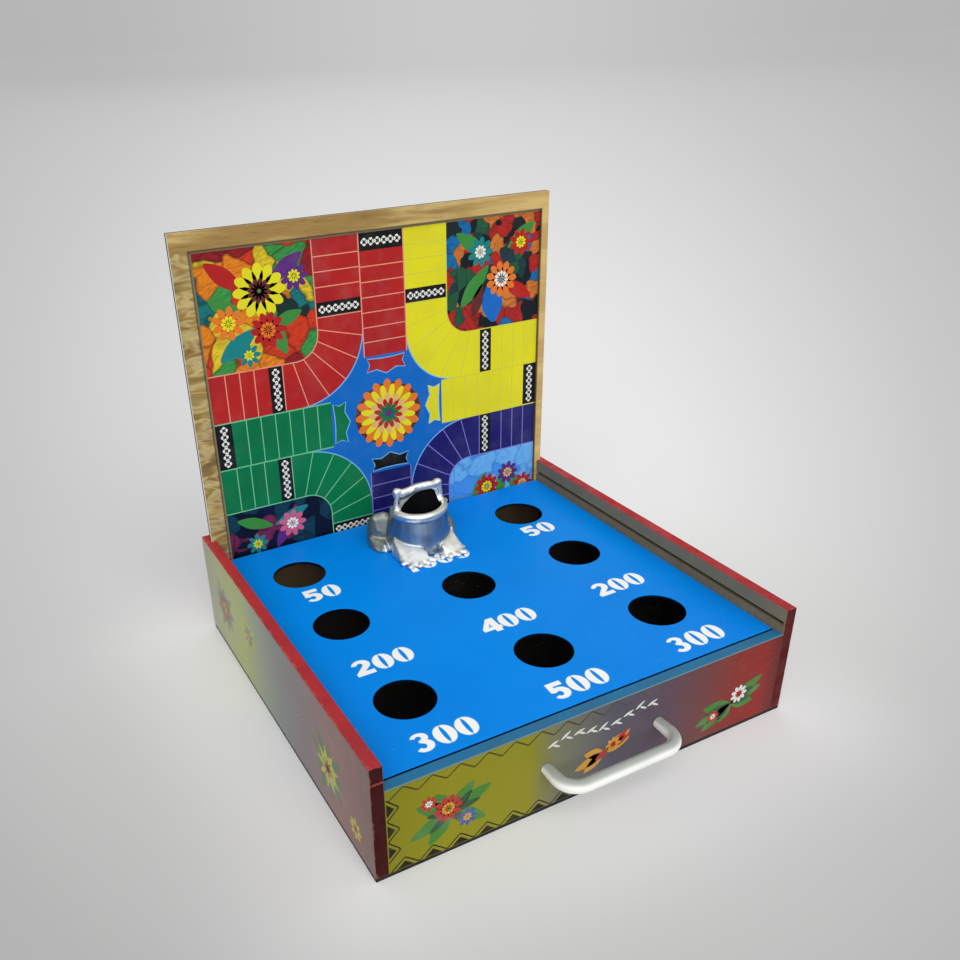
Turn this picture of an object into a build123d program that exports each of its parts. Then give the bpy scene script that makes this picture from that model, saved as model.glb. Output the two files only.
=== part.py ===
import os

from build123d import *

os.makedirs("parts", exist_ok=True)

# Box: outer size, panel thicknesses and the level of the throwing surface
box_width = 350.0
box_depth = 340.0
side_height = 93.0
wall_thickness = 9.0
base_thickness = 3.0
throw_level = 72.0
board_thickness = 3.0
edge_round = 0.5
half_turn = 180.0

# Level grooves along the inner faces of the side panels
groove_centre_level = 80.3
groove_height = 3.4
groove_depth = 5.0

# Lid: a square sheet with a raised frame, standing in two upright slots
lid_width = 340.6
lid_height = 340.0
lid_foot_level = 10.0
lid_backing_thickness = 3.0
lid_frame_thickness = 2.5
frame_left_member = 14.5
frame_right_member = 8.0
frame_top_member = 15.0
frame_foot_member = 7.5
print_thickness = 0.3
slot_play = 0.3

# Pieces under the throwing board
partition_thickness = 6.0
cleat_size = 10.0
divider_thickness = 3.0
divider_drop = 0.3

# Throwing board and its round targets
board_front_gap = 1.8
board_side_gap = 0.5
board_rear_gap = 0.8
target_diameter = 44.5
target_columns = (-113.5, 1.5, 108.5)
target_rows = (-96.0, 12.0, 100.0)
target_edge_round = 0.4

# Printed film on the outer faces
film_thickness = 0.3
film_inset = 0.8

# Carrying handle and its two screws
handle_centre = 1.5
handle_level = 37.5
handle_spacing = 96.0
handle_reach = 26.0
handle_bend = 14.0
bend_spare = 0.01
grip_diameter = 9.6
leg_diameter = 8.4
handle_screw_diameter = 4.0
handle_screw_length = 18.0
handle_screw_head_diameter = 7.0
handle_screw_head_height = 2.4
handle_screw_bore_spare = 1.0
film_hole_play = 0.3
screw_play = 0.05

# Screws through the bottom sheet
base_screw_diameter = 3.0
base_screw_length = 14.0
base_screw_head_diameter = 6.0
base_screw_head_height = 1.6
base_screw_sink = 0.2
base_screw_side_rows = (-140.0, 0.0, 140.0)
base_screw_end_columns = (-90.0, 90.0)
recess_width = 0.9
recess_share = 0.7
recess_depth = 0.9

# Frog: a hollow casting that stands over a hole in the board
frog_y = 98.0
spigot_play = 0.3
spigot_depth = 2.5
throat_radius = 19.0
throat_waist_rise = 15.0
throat_waist_half_width = 20.5
throat_waist_half_depth = 18.5
cup_foot_half_width = 29.6
cup_foot_front = 69.6
cup_foot_rear = 129.0
cup_waist_rise = 20.0
cup_waist_half_width = 28.0
cup_waist_front = 71.6
cup_waist_rear = 126.0
lip_rise = 37.0
lip_y = 95.5
lip_half_width = 22.3
lip_half_depth = 20.3
lip_radius = 3.0
rim_overhang = 1.2
mouth_half_width = 18.4
mouth_half_depth = 18.0
mouth_height = 14.5
mouth_back_y = 101.5
head_foot_rise = 30.0
head_side_rise = 42.0
head_corner_half = 21.0
head_corner_rise = 54.0
head_top_rise = 56.5
head_half_width = 23.2
head_half_depth = 23.0
brow_y = 96.6
brow_end_rise = 53.2
brow_middle_rise = 54.8
brow_radius = 3.2
eye_x = 19.4
eye_rise = 54.8
eye_radius = 4.0
haunch_x = 26.5
haunch_y = 117.0
haunch_half_length = 14.5
haunch_radius = 14.2
haunch_rise = 15.0
rear_foot_x = 33.6
rear_foot_y = 105.0
rear_foot_half_width = 8.6
rear_foot_half_length = 12.5
rear_foot_height = 12.0
rear_foot_draft = 14.0
front_foot_height = 3.8
shelf_rise = 8.8
toe_height = 3.4
toe_width = 5.4
ankle_x = 19.0
ankle_y = 70.0

# Values that follow from the ones above
inner_half = box_width / 2 - wall_thickness
outer_half = box_width / 2
front_face = -box_depth / 2
rear_face = box_depth / 2
front_inner = front_face + wall_thickness
rear_inner = rear_face - wall_thickness
board_underside = throw_level - board_thickness
lid_thickness = lid_backing_thickness + lid_frame_thickness
lid_rear = rear_inner - slot_play
lid_front = lid_rear - lid_thickness
lid_top = lid_foot_level + lid_height
slot_front = lid_front - slot_play
slot_depth = lid_width / 2 + slot_play - inner_half
partition_front = slot_front - partition_thickness
board_front = front_inner + board_front_gap
board_rear = lid_front - board_rear_gap
board_half = inner_half - board_side_gap
film_face = front_face - film_thickness
leg_columns = (handle_centre - handle_spacing / 2, handle_centre + handle_spacing / 2)
wall_middle = wall_thickness / 2
divider_top = board_underside - divider_drop


def midpoints(values):
    return [(a + b) / 2 for a, b in zip(values, values[1:])]


cross_divider_columns = midpoints(target_columns)
long_divider_rows = midpoints(target_rows)


def base_screw_points():
    sides = [(x, y) for x in (wall_middle - outer_half, outer_half - wall_middle) for y in base_screw_side_rows]
    ends = [(x, y) for x in base_screw_end_columns for y in (front_face + wall_middle, rear_face - wall_middle)]
    return sides + ends


def save(block, name):
    block.part.label = name
    export_step(block.part, "parts/" + name + ".step")


# Bottom sheet under all the walls
with BuildPart() as bottom_panel:
    with BuildSketch():
        Rectangle(box_width, box_depth)
    extrude(amount=base_thickness)
    for x, y in base_screw_points():
        with BuildSketch():
            with Locations((x, y)):
                Circle(base_screw_head_diameter / 2 + screw_play)
        extrude(amount=base_screw_sink, mode=Mode.SUBTRACT)
        with BuildSketch(Plane.XY.offset(base_screw_sink)):
            with Locations((x, y)):
                Circle(base_screw_head_diameter / 2 + screw_play)
        with BuildSketch(Plane.XY.offset(base_screw_sink + base_screw_head_height)):
            with Locations((x, y)):
                Circle(base_screw_diameter / 2 + screw_play)
        loft(mode=Mode.SUBTRACT)
        with BuildSketch(Plane.XY.offset(base_screw_sink + base_screw_head_height)):
            with Locations((x, y)):
                Circle(base_screw_diameter / 2 + screw_play)
        extrude(amount=base_thickness, mode=Mode.SUBTRACT)
save(bottom_panel, "bottom_panel")


# Side panels, with a level groove and an upright slot in the inner face
def side_panel(side):
    middle = side * (outer_half - wall_middle)
    with BuildPart() as panel:
        with BuildSketch(Plane.XY.offset(base_thickness)):
            with Locations((middle, 0)):
                Rectangle(wall_thickness, box_depth)
        extrude(amount=side_height - base_thickness)
        top_edges = panel.edges().filter_by(Axis.Y).group_by(Axis.Z)[-1]
        fillet(top_edges, edge_round)
        with BuildSketch(Plane.XY.offset(groove_centre_level - groove_height / 2)):
            with Locations((side * (inner_half + groove_depth / 2), (front_face + rear_inner) / 2)):
                Rectangle(groove_depth, rear_inner - front_face)
        extrude(amount=groove_height, mode=Mode.SUBTRACT)
        with BuildSketch(Plane.XY.offset(lid_foot_level)):
            with Locations((side * (inner_half + slot_depth / 2), (slot_front + rear_inner) / 2)):
                Rectangle(slot_depth, rear_inner - slot_front)
        extrude(amount=side_height - lid_foot_level, mode=Mode.SUBTRACT)
        with BuildSketch(Plane.XY.offset(base_thickness)):
            with Locations(*[(middle, y) for y in base_screw_side_rows]):
                Circle(base_screw_diameter / 2 + screw_play)
        extrude(amount=base_screw_length, mode=Mode.SUBTRACT)
    return panel


save(side_panel(-1), "left_side_panel")
save(side_panel(1), "right_side_panel")


# Front and back panels, butted between the side panels
def end_panel(middle_y, height, screw_columns):
    with BuildPart() as panel:
        with BuildSketch(Plane.XY.offset(base_thickness)):
            with Locations((0, middle_y)):
                Rectangle(2 * inner_half, wall_thickness)
        extrude(amount=height - base_thickness)
        top_edges = panel.edges().filter_by(Axis.X).group_by(Axis.Z)[-1]
        fillet(top_edges, edge_round)
        with BuildSketch(Plane.XY.offset(base_thickness)):
            with Locations(*[(x, middle_y) for x in screw_columns]):
                Circle(base_screw_diameter / 2 + screw_play)
        extrude(amount=base_screw_length, mode=Mode.SUBTRACT)
    return panel


plain_front = end_panel(front_face + wall_middle, throw_level, base_screw_end_columns)
with BuildPart() as front_panel:
    add(plain_front.part)
    with BuildSketch(Plane.XZ.offset(-front_inner)):
        with Locations(*[(x, handle_level) for x in leg_columns]):
            Circle(handle_screw_diameter / 2 + screw_play)
    extrude(amount=wall_thickness, mode=Mode.SUBTRACT)
save(front_panel, "front_panel")
save(end_panel(rear_face - wall_middle, side_height, base_screw_end_columns), "back_panel")

# Partition between the compartments and the pocket of the lid
with BuildPart() as rear_partition:
    with BuildSketch(Plane.XY.offset(base_thickness)):
        with Locations((0, (partition_front + slot_front) / 2)):
            Rectangle(2 * inner_half, partition_thickness)
    extrude(amount=board_underside - base_thickness)
save(rear_partition, "rear_partition")


# Cleats along the walls that carry the throwing board
def board_cleat(x_low, x_high, y_low, y_high):
    with BuildPart() as cleat:
        with BuildSketch(Plane.XY.offset(board_underside - cleat_size)):
            with Locations(((x_low + x_high) / 2, (y_low + y_high) / 2)):
                Rectangle(x_high - x_low, y_high - y_low)
        extrude(amount=cleat_size)
    return cleat


cleat_inner = inner_half - cleat_size
save(board_cleat(-inner_half, -cleat_inner, front_inner, partition_front), "left_board_cleat")
save(board_cleat(cleat_inner, inner_half, front_inner, partition_front), "right_board_cleat")
save(board_cleat(-cleat_inner, cleat_inner, front_inner, front_inner + cleat_size), "front_board_cleat")

lap_level = (base_thickness + divider_top) / 2


# Dividers from side to side, notched under both side cleats and lapped from below
def long_divider(row):
    with BuildPart() as divider:
        with BuildSketch(Plane.XZ.offset(-row - divider_thickness / 2)):
            with Locations((0, (base_thickness + divider_top) / 2)):
                Rectangle(2 * inner_half, divider_top - base_thickness)
            with Locations((-inner_half, board_underside), (inner_half, board_underside)):
                Rectangle(2 * cleat_size, 2 * cleat_size, mode=Mode.SUBTRACT)
            with Locations(*[(x, base_thickness) for x in cross_divider_columns]):
                Rectangle(divider_thickness, 2 * (lap_level - base_thickness), mode=Mode.SUBTRACT)
        extrude(amount=divider_thickness)
    return divider


# Dividers from front to rear, notched under the front cleat and lapped from above
def cross_divider(column):
    with BuildPart() as divider:
        with BuildSketch(Plane.YZ.offset(column - divider_thickness / 2)):
            with Locations(((front_inner + partition_front) / 2, (base_thickness + divider_top) / 2)):
                Rectangle(partition_front - front_inner, divider_top - base_thickness)
            with Locations((front_inner, board_underside)):
                Rectangle(2 * cleat_size, 2 * cleat_size, mode=Mode.SUBTRACT)
            with Locations(*[(y, divider_top) for y in long_divider_rows]):
                Rectangle(divider_thickness, 2 * (divider_top - lap_level), mode=Mode.SUBTRACT)
        extrude(amount=divider_thickness)
    return divider


save(long_divider(long_divider_rows[0]), "front_long_divider")
save(long_divider(long_divider_rows[1]), "rear_long_divider")
save(cross_divider(cross_divider_columns[0]), "left_cross_divider")
save(cross_divider(cross_divider_columns[1]), "right_cross_divider")

# Printed film on the front panel
with BuildPart() as front_film:
    with BuildSketch(Plane.XZ.offset(-front_face)):
        with Locations((0, (base_thickness + throw_level - edge_round) / 2)):
            Rectangle(2 * inner_half, throw_level - edge_round - base_thickness)
        with Locations(*[(x, handle_level) for x in leg_columns]):
            Circle(handle_screw_diameter / 2 + film_hole_play, mode=Mode.SUBTRACT)
    extrude(amount=film_thickness)
save(front_film, "front_film")


# Printed film on the side panels
def side_film(side):
    start = outer_half if side > 0 else -outer_half - film_thickness
    with BuildPart() as film:
        with BuildSketch(Plane.YZ.offset(start)):
            with Locations((0, (base_thickness + side_height - film_inset) / 2)):
                Rectangle(box_depth, side_height - film_inset - base_thickness)
        extrude(amount=film_thickness)
    return film


save(side_film(-1), "left_film")
save(side_film(1), "right_film")

# Carrying handle: two tapered legs and a bent round grip
grip_y = film_face - handle_reach
leg_length = handle_reach - handle_bend
with BuildPart() as carry_handle:
    with BuildLine(Plane.XY.offset(handle_level)):
        FilletPolyline(
            (leg_columns[0], film_face - leg_length),
            (leg_columns[0], grip_y),
            (leg_columns[1], grip_y),
            (leg_columns[1], film_face - leg_length),
            radius=handle_bend - bend_spare,
        )
    with BuildSketch(Plane.XZ.offset(leg_length - film_face)):
        with Locations((leg_columns[0], handle_level)):
            Circle(grip_diameter / 2)
    sweep()
    for x in leg_columns:
        with BuildSketch(Plane.XZ.offset(-film_face)):
            with Locations((x, handle_level)):
                Circle(leg_diameter / 2)
        with BuildSketch(Plane.XZ.offset(leg_length - film_face)):
            with Locations((x, handle_level)):
                Circle(grip_diameter / 2)
        loft()
    with BuildSketch(Plane.XZ.offset(-film_face)):
        with Locations(*[(x, handle_level) for x in leg_columns]):
            Circle(handle_screw_diameter / 2 + screw_play)
    bore_depth = handle_screw_length - wall_thickness - film_thickness + handle_screw_bore_spare
    extrude(amount=bore_depth, mode=Mode.SUBTRACT)
save(carry_handle, "carry_handle")

# Pan head screws that hold the handle, heads on the inner side of the front panel
with BuildPart() as handle_screws:
    with BuildSketch(Plane.XZ.offset(-front_inner)):
        with Locations(*[(x, handle_level) for x in leg_columns]):
            Circle(handle_screw_diameter / 2)
    extrude(amount=handle_screw_length)
    with BuildSketch(Plane.XZ.offset(-front_inner)):
        with Locations(*[(x, handle_level) for x in leg_columns]):
            Circle(handle_screw_head_diameter / 2)
    extrude(amount=-handle_screw_head_height)
    head_rims = handle_screws.edges().filter_by(GeomType.CIRCLE).group_by(Axis.Y)[-1]
    fillet(head_rims, handle_screw_head_height / 2)
    with BuildSketch(Plane.XZ.offset(-front_inner - handle_screw_head_height)):
        with Locations(*[(x, handle_level) for x in leg_columns]):
            Rectangle(recess_share * handle_screw_head_diameter, recess_width)
            Rectangle(recess_width, recess_share * handle_screw_head_diameter)
    extrude(amount=recess_depth, mode=Mode.SUBTRACT)
save(handle_screws, "handle_screws")

# Countersunk screws that hold the bottom sheet
with BuildPart() as base_screws:
    for x, y in base_screw_points():
        with BuildSketch(Plane.XY.offset(base_screw_sink)):
            with Locations((x, y)):
                Circle(base_screw_head_diameter / 2)
        with BuildSketch(Plane.XY.offset(base_screw_sink + base_screw_head_height)):
            with Locations((x, y)):
                Circle(base_screw_diameter / 2)
        loft()
    with BuildSketch(Plane.XY.offset(base_screw_sink + base_screw_head_height)):
        with Locations(*base_screw_points()):
            Circle(base_screw_diameter / 2)
    extrude(amount=base_screw_length - base_screw_head_height)
    with BuildSketch(Plane.XY.offset(base_screw_sink)):
        with Locations(*base_screw_points()):
            Rectangle(recess_share * base_screw_head_diameter, recess_width)
            Rectangle(recess_width, recess_share * base_screw_head_diameter)
    extrude(amount=recess_depth, mode=Mode.SUBTRACT)
save(base_screws, "base_screws")

# Throwing board with eight targets and the hole under the frog
with BuildPart() as throw_board:
    with BuildSketch(Plane.XY.offset(board_underside)):
        with Locations((0, (board_front + board_rear) / 2)):
            Rectangle(2 * board_half, board_rear - board_front)
    extrude(amount=board_thickness)
    fillet(throw_board.faces().sort_by(Axis.Z)[-1].edges(), edge_round)
    targets = [(x, y) for x in target_columns for y in target_rows]
    targets.remove((target_columns[1], target_rows[2]))
    with BuildSketch(Plane.XY.offset(board_underside)):
        with Locations(*targets, (0, frog_y)):
            Circle(target_diameter / 2)
    extrude(amount=board_thickness, mode=Mode.SUBTRACT)
    target_rims = throw_board.edges().filter_by(GeomType.CIRCLE).filter_by(
        lambda edge: abs(edge.radius - target_diameter / 2) < edge_round and edge.center().Z > throw_level - edge_round
    )
    fillet(target_rims, target_edge_round)
save(throw_board, "throw_board")

# Lid: backing sheet, raised frame and the printed playing field
with BuildPart() as lid_backing:
    with BuildSketch(Plane.XZ.offset(-lid_rear)):
        with Locations((0, lid_foot_level + lid_height / 2)):
            Rectangle(lid_width, lid_height)
    extrude(amount=lid_backing_thickness)
save(lid_backing, "lid_backing")

window_left = frame_left_member - lid_width / 2
window_right = lid_width / 2 - frame_right_member
window_foot = lid_foot_level + frame_foot_member
window_top = lid_top - frame_top_member
window_centre = ((window_left + window_right) / 2, (window_foot + window_top) / 2)
frame_back = lid_rear - lid_backing_thickness
with BuildPart() as lid_frame:
    with BuildSketch(Plane.XZ.offset(-frame_back)):
        with Locations((0, lid_foot_level + lid_height / 2)):
            Rectangle(lid_width, lid_height)
        with Locations(window_centre):
            Rectangle(window_right - window_left, window_top - window_foot, mode=Mode.SUBTRACT)
    extrude(amount=lid_frame_thickness)
save(lid_frame, "lid_frame")

with BuildPart() as board_print:
    with BuildSketch(Plane.XZ.offset(-frame_back)):
        with Locations(window_centre):
            Rectangle(window_right - window_left, window_top - window_foot)
    extrude(amount=print_thickness)
save(board_print, "board_print")

# Frog outlines in plan, front to rear, of the right foot and of the shelf above it
toe_tips = ((4.2, 57.2), (11.6, 54.8), (19.4, 54.0), (27.6, 56.0), (30.0, 64.0))
foot_outline = ((9.0, 61.2), (16.0, 59.2), (24.5, 60.0), (29.2, 64.0), (31.4, 86.0), (12.0, 80.0))
shelf_outline = ((8.0, 66.8), (16.0, 67.4), (23.5, 72.4), (27.6, 78.0), (29.2, 86.0), (12.0, 80.0))

# Side outline of the head, as distances to the rear and heights above the board
head_side_profile = ((94.0, 30.0), (94.6, 50.0), (96.6, 57.0), (101.5, 57.0), (106.8, 49.0), (109.5, 30.0))


# Level oval section of the frog, given by its front and its rear
def oval_section(rise, half_width, front, rear):
    with BuildSketch(Plane.XY.offset(throw_level + rise)) as section:
        with Locations((0, (front + rear) / 2)):
            Ellipse(half_width, (rear - front) / 2)
    return section.sketch


# Belly and chest, a cup that narrows to the lip
def frog_cup():
    rim_half_width = lip_half_width + rim_overhang
    rim_front = lip_y - lip_half_depth - rim_overhang
    rim_rear = lip_y + lip_half_depth
    with BuildPart() as cup:
        add(oval_section(0, cup_foot_half_width, cup_foot_front, cup_foot_rear))
        add(oval_section(cup_waist_rise, cup_waist_half_width, cup_waist_front, cup_waist_rear))
        add(oval_section(lip_rise, rim_half_width, rim_front, rim_rear))
        loft()
    return cup.part


# Upper jaw and head, the common part of a front, a side and a plan outline
def frog_head():
    with BuildPart() as head:
        with BuildSketch(Plane.XZ.offset(-rear_inner)):
            with BuildLine():
                Polyline(
                    (-head_half_width, throw_level + head_foot_rise),
                    (-head_half_width, throw_level + head_side_rise),
                    (-head_corner_half, throw_level + head_corner_rise),
                )
                ThreePointArc(
                    (-head_corner_half, throw_level + head_corner_rise),
                    (0, throw_level + head_top_rise),
                    (head_corner_half, throw_level + head_corner_rise),
                )
                Polyline(
                    (head_corner_half, throw_level + head_corner_rise),
                    (head_half_width, throw_level + head_side_rise),
                    (head_half_width, throw_level + head_foot_rise),
                    (-head_half_width, throw_level + head_foot_rise),
                )
            make_face()
        extrude(amount=box_depth)
        with BuildSketch(Plane.YZ.offset(-outer_half)):
            Polygon(*[(y, throw_level + rise) for y, rise in head_side_profile], align=None)
        extrude(amount=box_width, mode=Mode.INTERSECT)
        with BuildSketch(Plane.XY.offset(throw_level)):
            with Locations((0, lip_y)):
                Ellipse(head_half_width, head_half_depth)
        extrude(amount=side_height, mode=Mode.INTERSECT)
    return head.part


def haunch(side):
    middle = Plane(
        origin=(side * haunch_x, haunch_y, throw_level + haunch_rise),
        x_dir=(0, 1, 0),
        z_dir=(1, 0, 0),
    )
    with BuildPart() as spheroid:
        with BuildSketch(middle):
            Ellipse(haunch_half_length, haunch_radius)
            with Locations((0, -haunch_radius)):
                Rectangle(2 * haunch_half_length, 2 * haunch_radius, mode=Mode.SUBTRACT)
        revolve(axis=Axis(middle.origin, middle.x_dir))
    return spheroid.part


def rear_foot(side):
    with BuildPart() as pad:
        with BuildSketch(Plane.XY.offset(throw_level)):
            with Locations((side * rear_foot_x, rear_foot_y)):
                Ellipse(rear_foot_half_width, rear_foot_half_length)
        extrude(amount=rear_foot_height, taper=rear_foot_draft)
    return pad.part


# Front foot: an upright edge with a low sloping shelf above it
def front_foot(side):
    with BuildPart() as foot:
        with BuildSketch(Plane.XY.offset(throw_level)):
            Polygon(*[(side * x, y) for x, y in foot_outline], align=None)
        extrude(amount=front_foot_height)
        with BuildSketch(Plane.XY.offset(throw_level + front_foot_height)):
            Polygon(*[(side * x, y) for x, y in foot_outline], align=None)
        with BuildSketch(Plane.XY.offset(throw_level + shelf_rise)):
            Polygon(*[(side * x, y) for x, y in shelf_outline], align=None)
        loft(ruled=True)
    return foot.part


def front_toes(side):
    with BuildPart() as toes:
        with BuildSketch(Plane.XY.offset(throw_level)):
            for x, y in toe_tips:
                middle = (side * (x + ankle_x) / 2, (y + ankle_y) / 2)
                SlotCenterPoint(middle, (side * x, y), toe_width)
        extrude(amount=toe_height)
    return toes.part


cup_solid = frog_cup()
head_solid = frog_head()
limb_solids = [make(side) for make in (haunch, rear_foot, front_foot, front_toes) for side in (-1, 1)]
brow_ends = [(x, throw_level + brow_end_rise) for x in (-eye_x, eye_x)]
with BuildPart() as frog:
    for solid in (cup_solid, head_solid, *limb_solids):
        add(solid)
    with BuildLine(Plane.XZ.offset(-brow_y)) as brow_line:
        ThreePointArc(brow_ends[0], (0, throw_level + brow_middle_rise), brow_ends[1])
    with BuildSketch(Plane(brow_line.line @ 0, z_dir=brow_line.line % 0)):
        Circle(brow_radius)
    sweep()
    with Locations(*[(x, brow_y, throw_level + eye_rise) for x in (-eye_x, eye_x)]):
        Sphere(eye_radius)
    with BuildSketch(Plane.XY.offset(throw_level)):
        with Locations((0, frog_y)):
            Circle(target_diameter / 2 - spigot_play)
    extrude(amount=-spigot_depth)
    throat_y = (frog_y + lip_y) / 2
    add(oval_section(-spigot_depth, throat_radius, frog_y - throat_radius, frog_y + throat_radius))
    add(
        oval_section(
            throat_waist_rise,
            throat_waist_half_width,
            throat_y - throat_waist_half_depth,
            throat_y + throat_waist_half_depth,
        )
    )
    add(oval_section(lip_rise, mouth_half_width, lip_y - mouth_half_depth, lip_y + mouth_half_depth))
    loft(mode=Mode.SUBTRACT)
    with BuildSketch(Plane.XZ.offset(-mouth_back_y)):
        with Locations((0, throw_level + lip_rise)):
            Ellipse(mouth_half_width, mouth_height)
        Rectangle(box_width, 2 * (throw_level + lip_rise), mode=Mode.SUBTRACT)
    extrude(amount=mouth_back_y, mode=Mode.SUBTRACT)
    with BuildLine(Plane.XY.offset(throw_level + lip_rise)):
        EllipticalCenterArc((0, lip_y), lip_half_width, lip_half_depth, start_angle=180, arc_size=half_turn)
    with BuildSketch(Plane(origin=(-lip_half_width, lip_y, throw_level + lip_rise), z_dir=(0, -1, 0))):
        Circle(lip_radius)
    sweep()
    with Locations(*[(x, lip_y, throw_level + lip_rise) for x in (-lip_half_width, lip_half_width)]):
        Sphere(lip_radius)
save(frog, "frog")
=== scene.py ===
"""Finishes, printed fields, numerals and casting of a portable toss game box with a board lid."""

import math
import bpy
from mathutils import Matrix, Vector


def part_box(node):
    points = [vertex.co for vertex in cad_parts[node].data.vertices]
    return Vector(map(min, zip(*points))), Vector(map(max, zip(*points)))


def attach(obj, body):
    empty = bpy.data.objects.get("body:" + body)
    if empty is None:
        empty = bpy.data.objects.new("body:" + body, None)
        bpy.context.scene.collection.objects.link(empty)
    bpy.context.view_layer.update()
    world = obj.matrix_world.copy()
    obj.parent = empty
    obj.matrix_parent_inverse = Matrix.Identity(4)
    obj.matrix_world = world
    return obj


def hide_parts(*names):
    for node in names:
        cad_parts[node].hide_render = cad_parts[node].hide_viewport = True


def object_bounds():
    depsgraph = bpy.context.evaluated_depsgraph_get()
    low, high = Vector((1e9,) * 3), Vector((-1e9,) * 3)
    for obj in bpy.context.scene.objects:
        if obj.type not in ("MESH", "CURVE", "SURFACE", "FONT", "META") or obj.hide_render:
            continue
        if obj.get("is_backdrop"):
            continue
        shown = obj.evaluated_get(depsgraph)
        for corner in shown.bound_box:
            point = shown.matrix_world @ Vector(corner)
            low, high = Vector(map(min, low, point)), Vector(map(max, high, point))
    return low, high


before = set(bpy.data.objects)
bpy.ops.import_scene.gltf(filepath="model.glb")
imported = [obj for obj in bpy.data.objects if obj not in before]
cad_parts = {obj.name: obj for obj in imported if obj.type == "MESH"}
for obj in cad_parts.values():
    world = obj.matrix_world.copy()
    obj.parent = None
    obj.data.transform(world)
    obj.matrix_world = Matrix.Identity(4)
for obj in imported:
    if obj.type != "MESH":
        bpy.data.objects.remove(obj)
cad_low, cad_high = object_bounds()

from types import SimpleNamespace

import bmesh
import bpy
from mathutils import Euler, Vector, noise
from mathutils.geometry import tessellate_polygon

MM = 0.001
# The faces that prints lie on, in mm
HALF_WIDTH = 175.0
HALF_DEPTH = 170.0
DECK_TOP = 72.0
LID_MIDDLE = (4.5, 157.4, 175.0)
# The level grooves of the side panels, in mm
GROOVE_LEVEL = 80.3
INNER_FACE = 166.0
GROOVE_BED = 171.0

scene = bpy.context.scene
scene.view_settings.view_transform = "Standard"


# Colour and wiring


def shade(red, green, blue):
    """A colour as a paint maker's 0 to 255 card reads it, for a shader socket."""
    steps = [v / 255 for v in (red, green, blue)]
    return (*[v / 12.92 if v <= 0.04045 else ((v + 0.055) / 1.055) ** 2.4 for v in steps], 1.0)


def socket_name(word):
    return word.replace("_", " ").capitalize()


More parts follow.
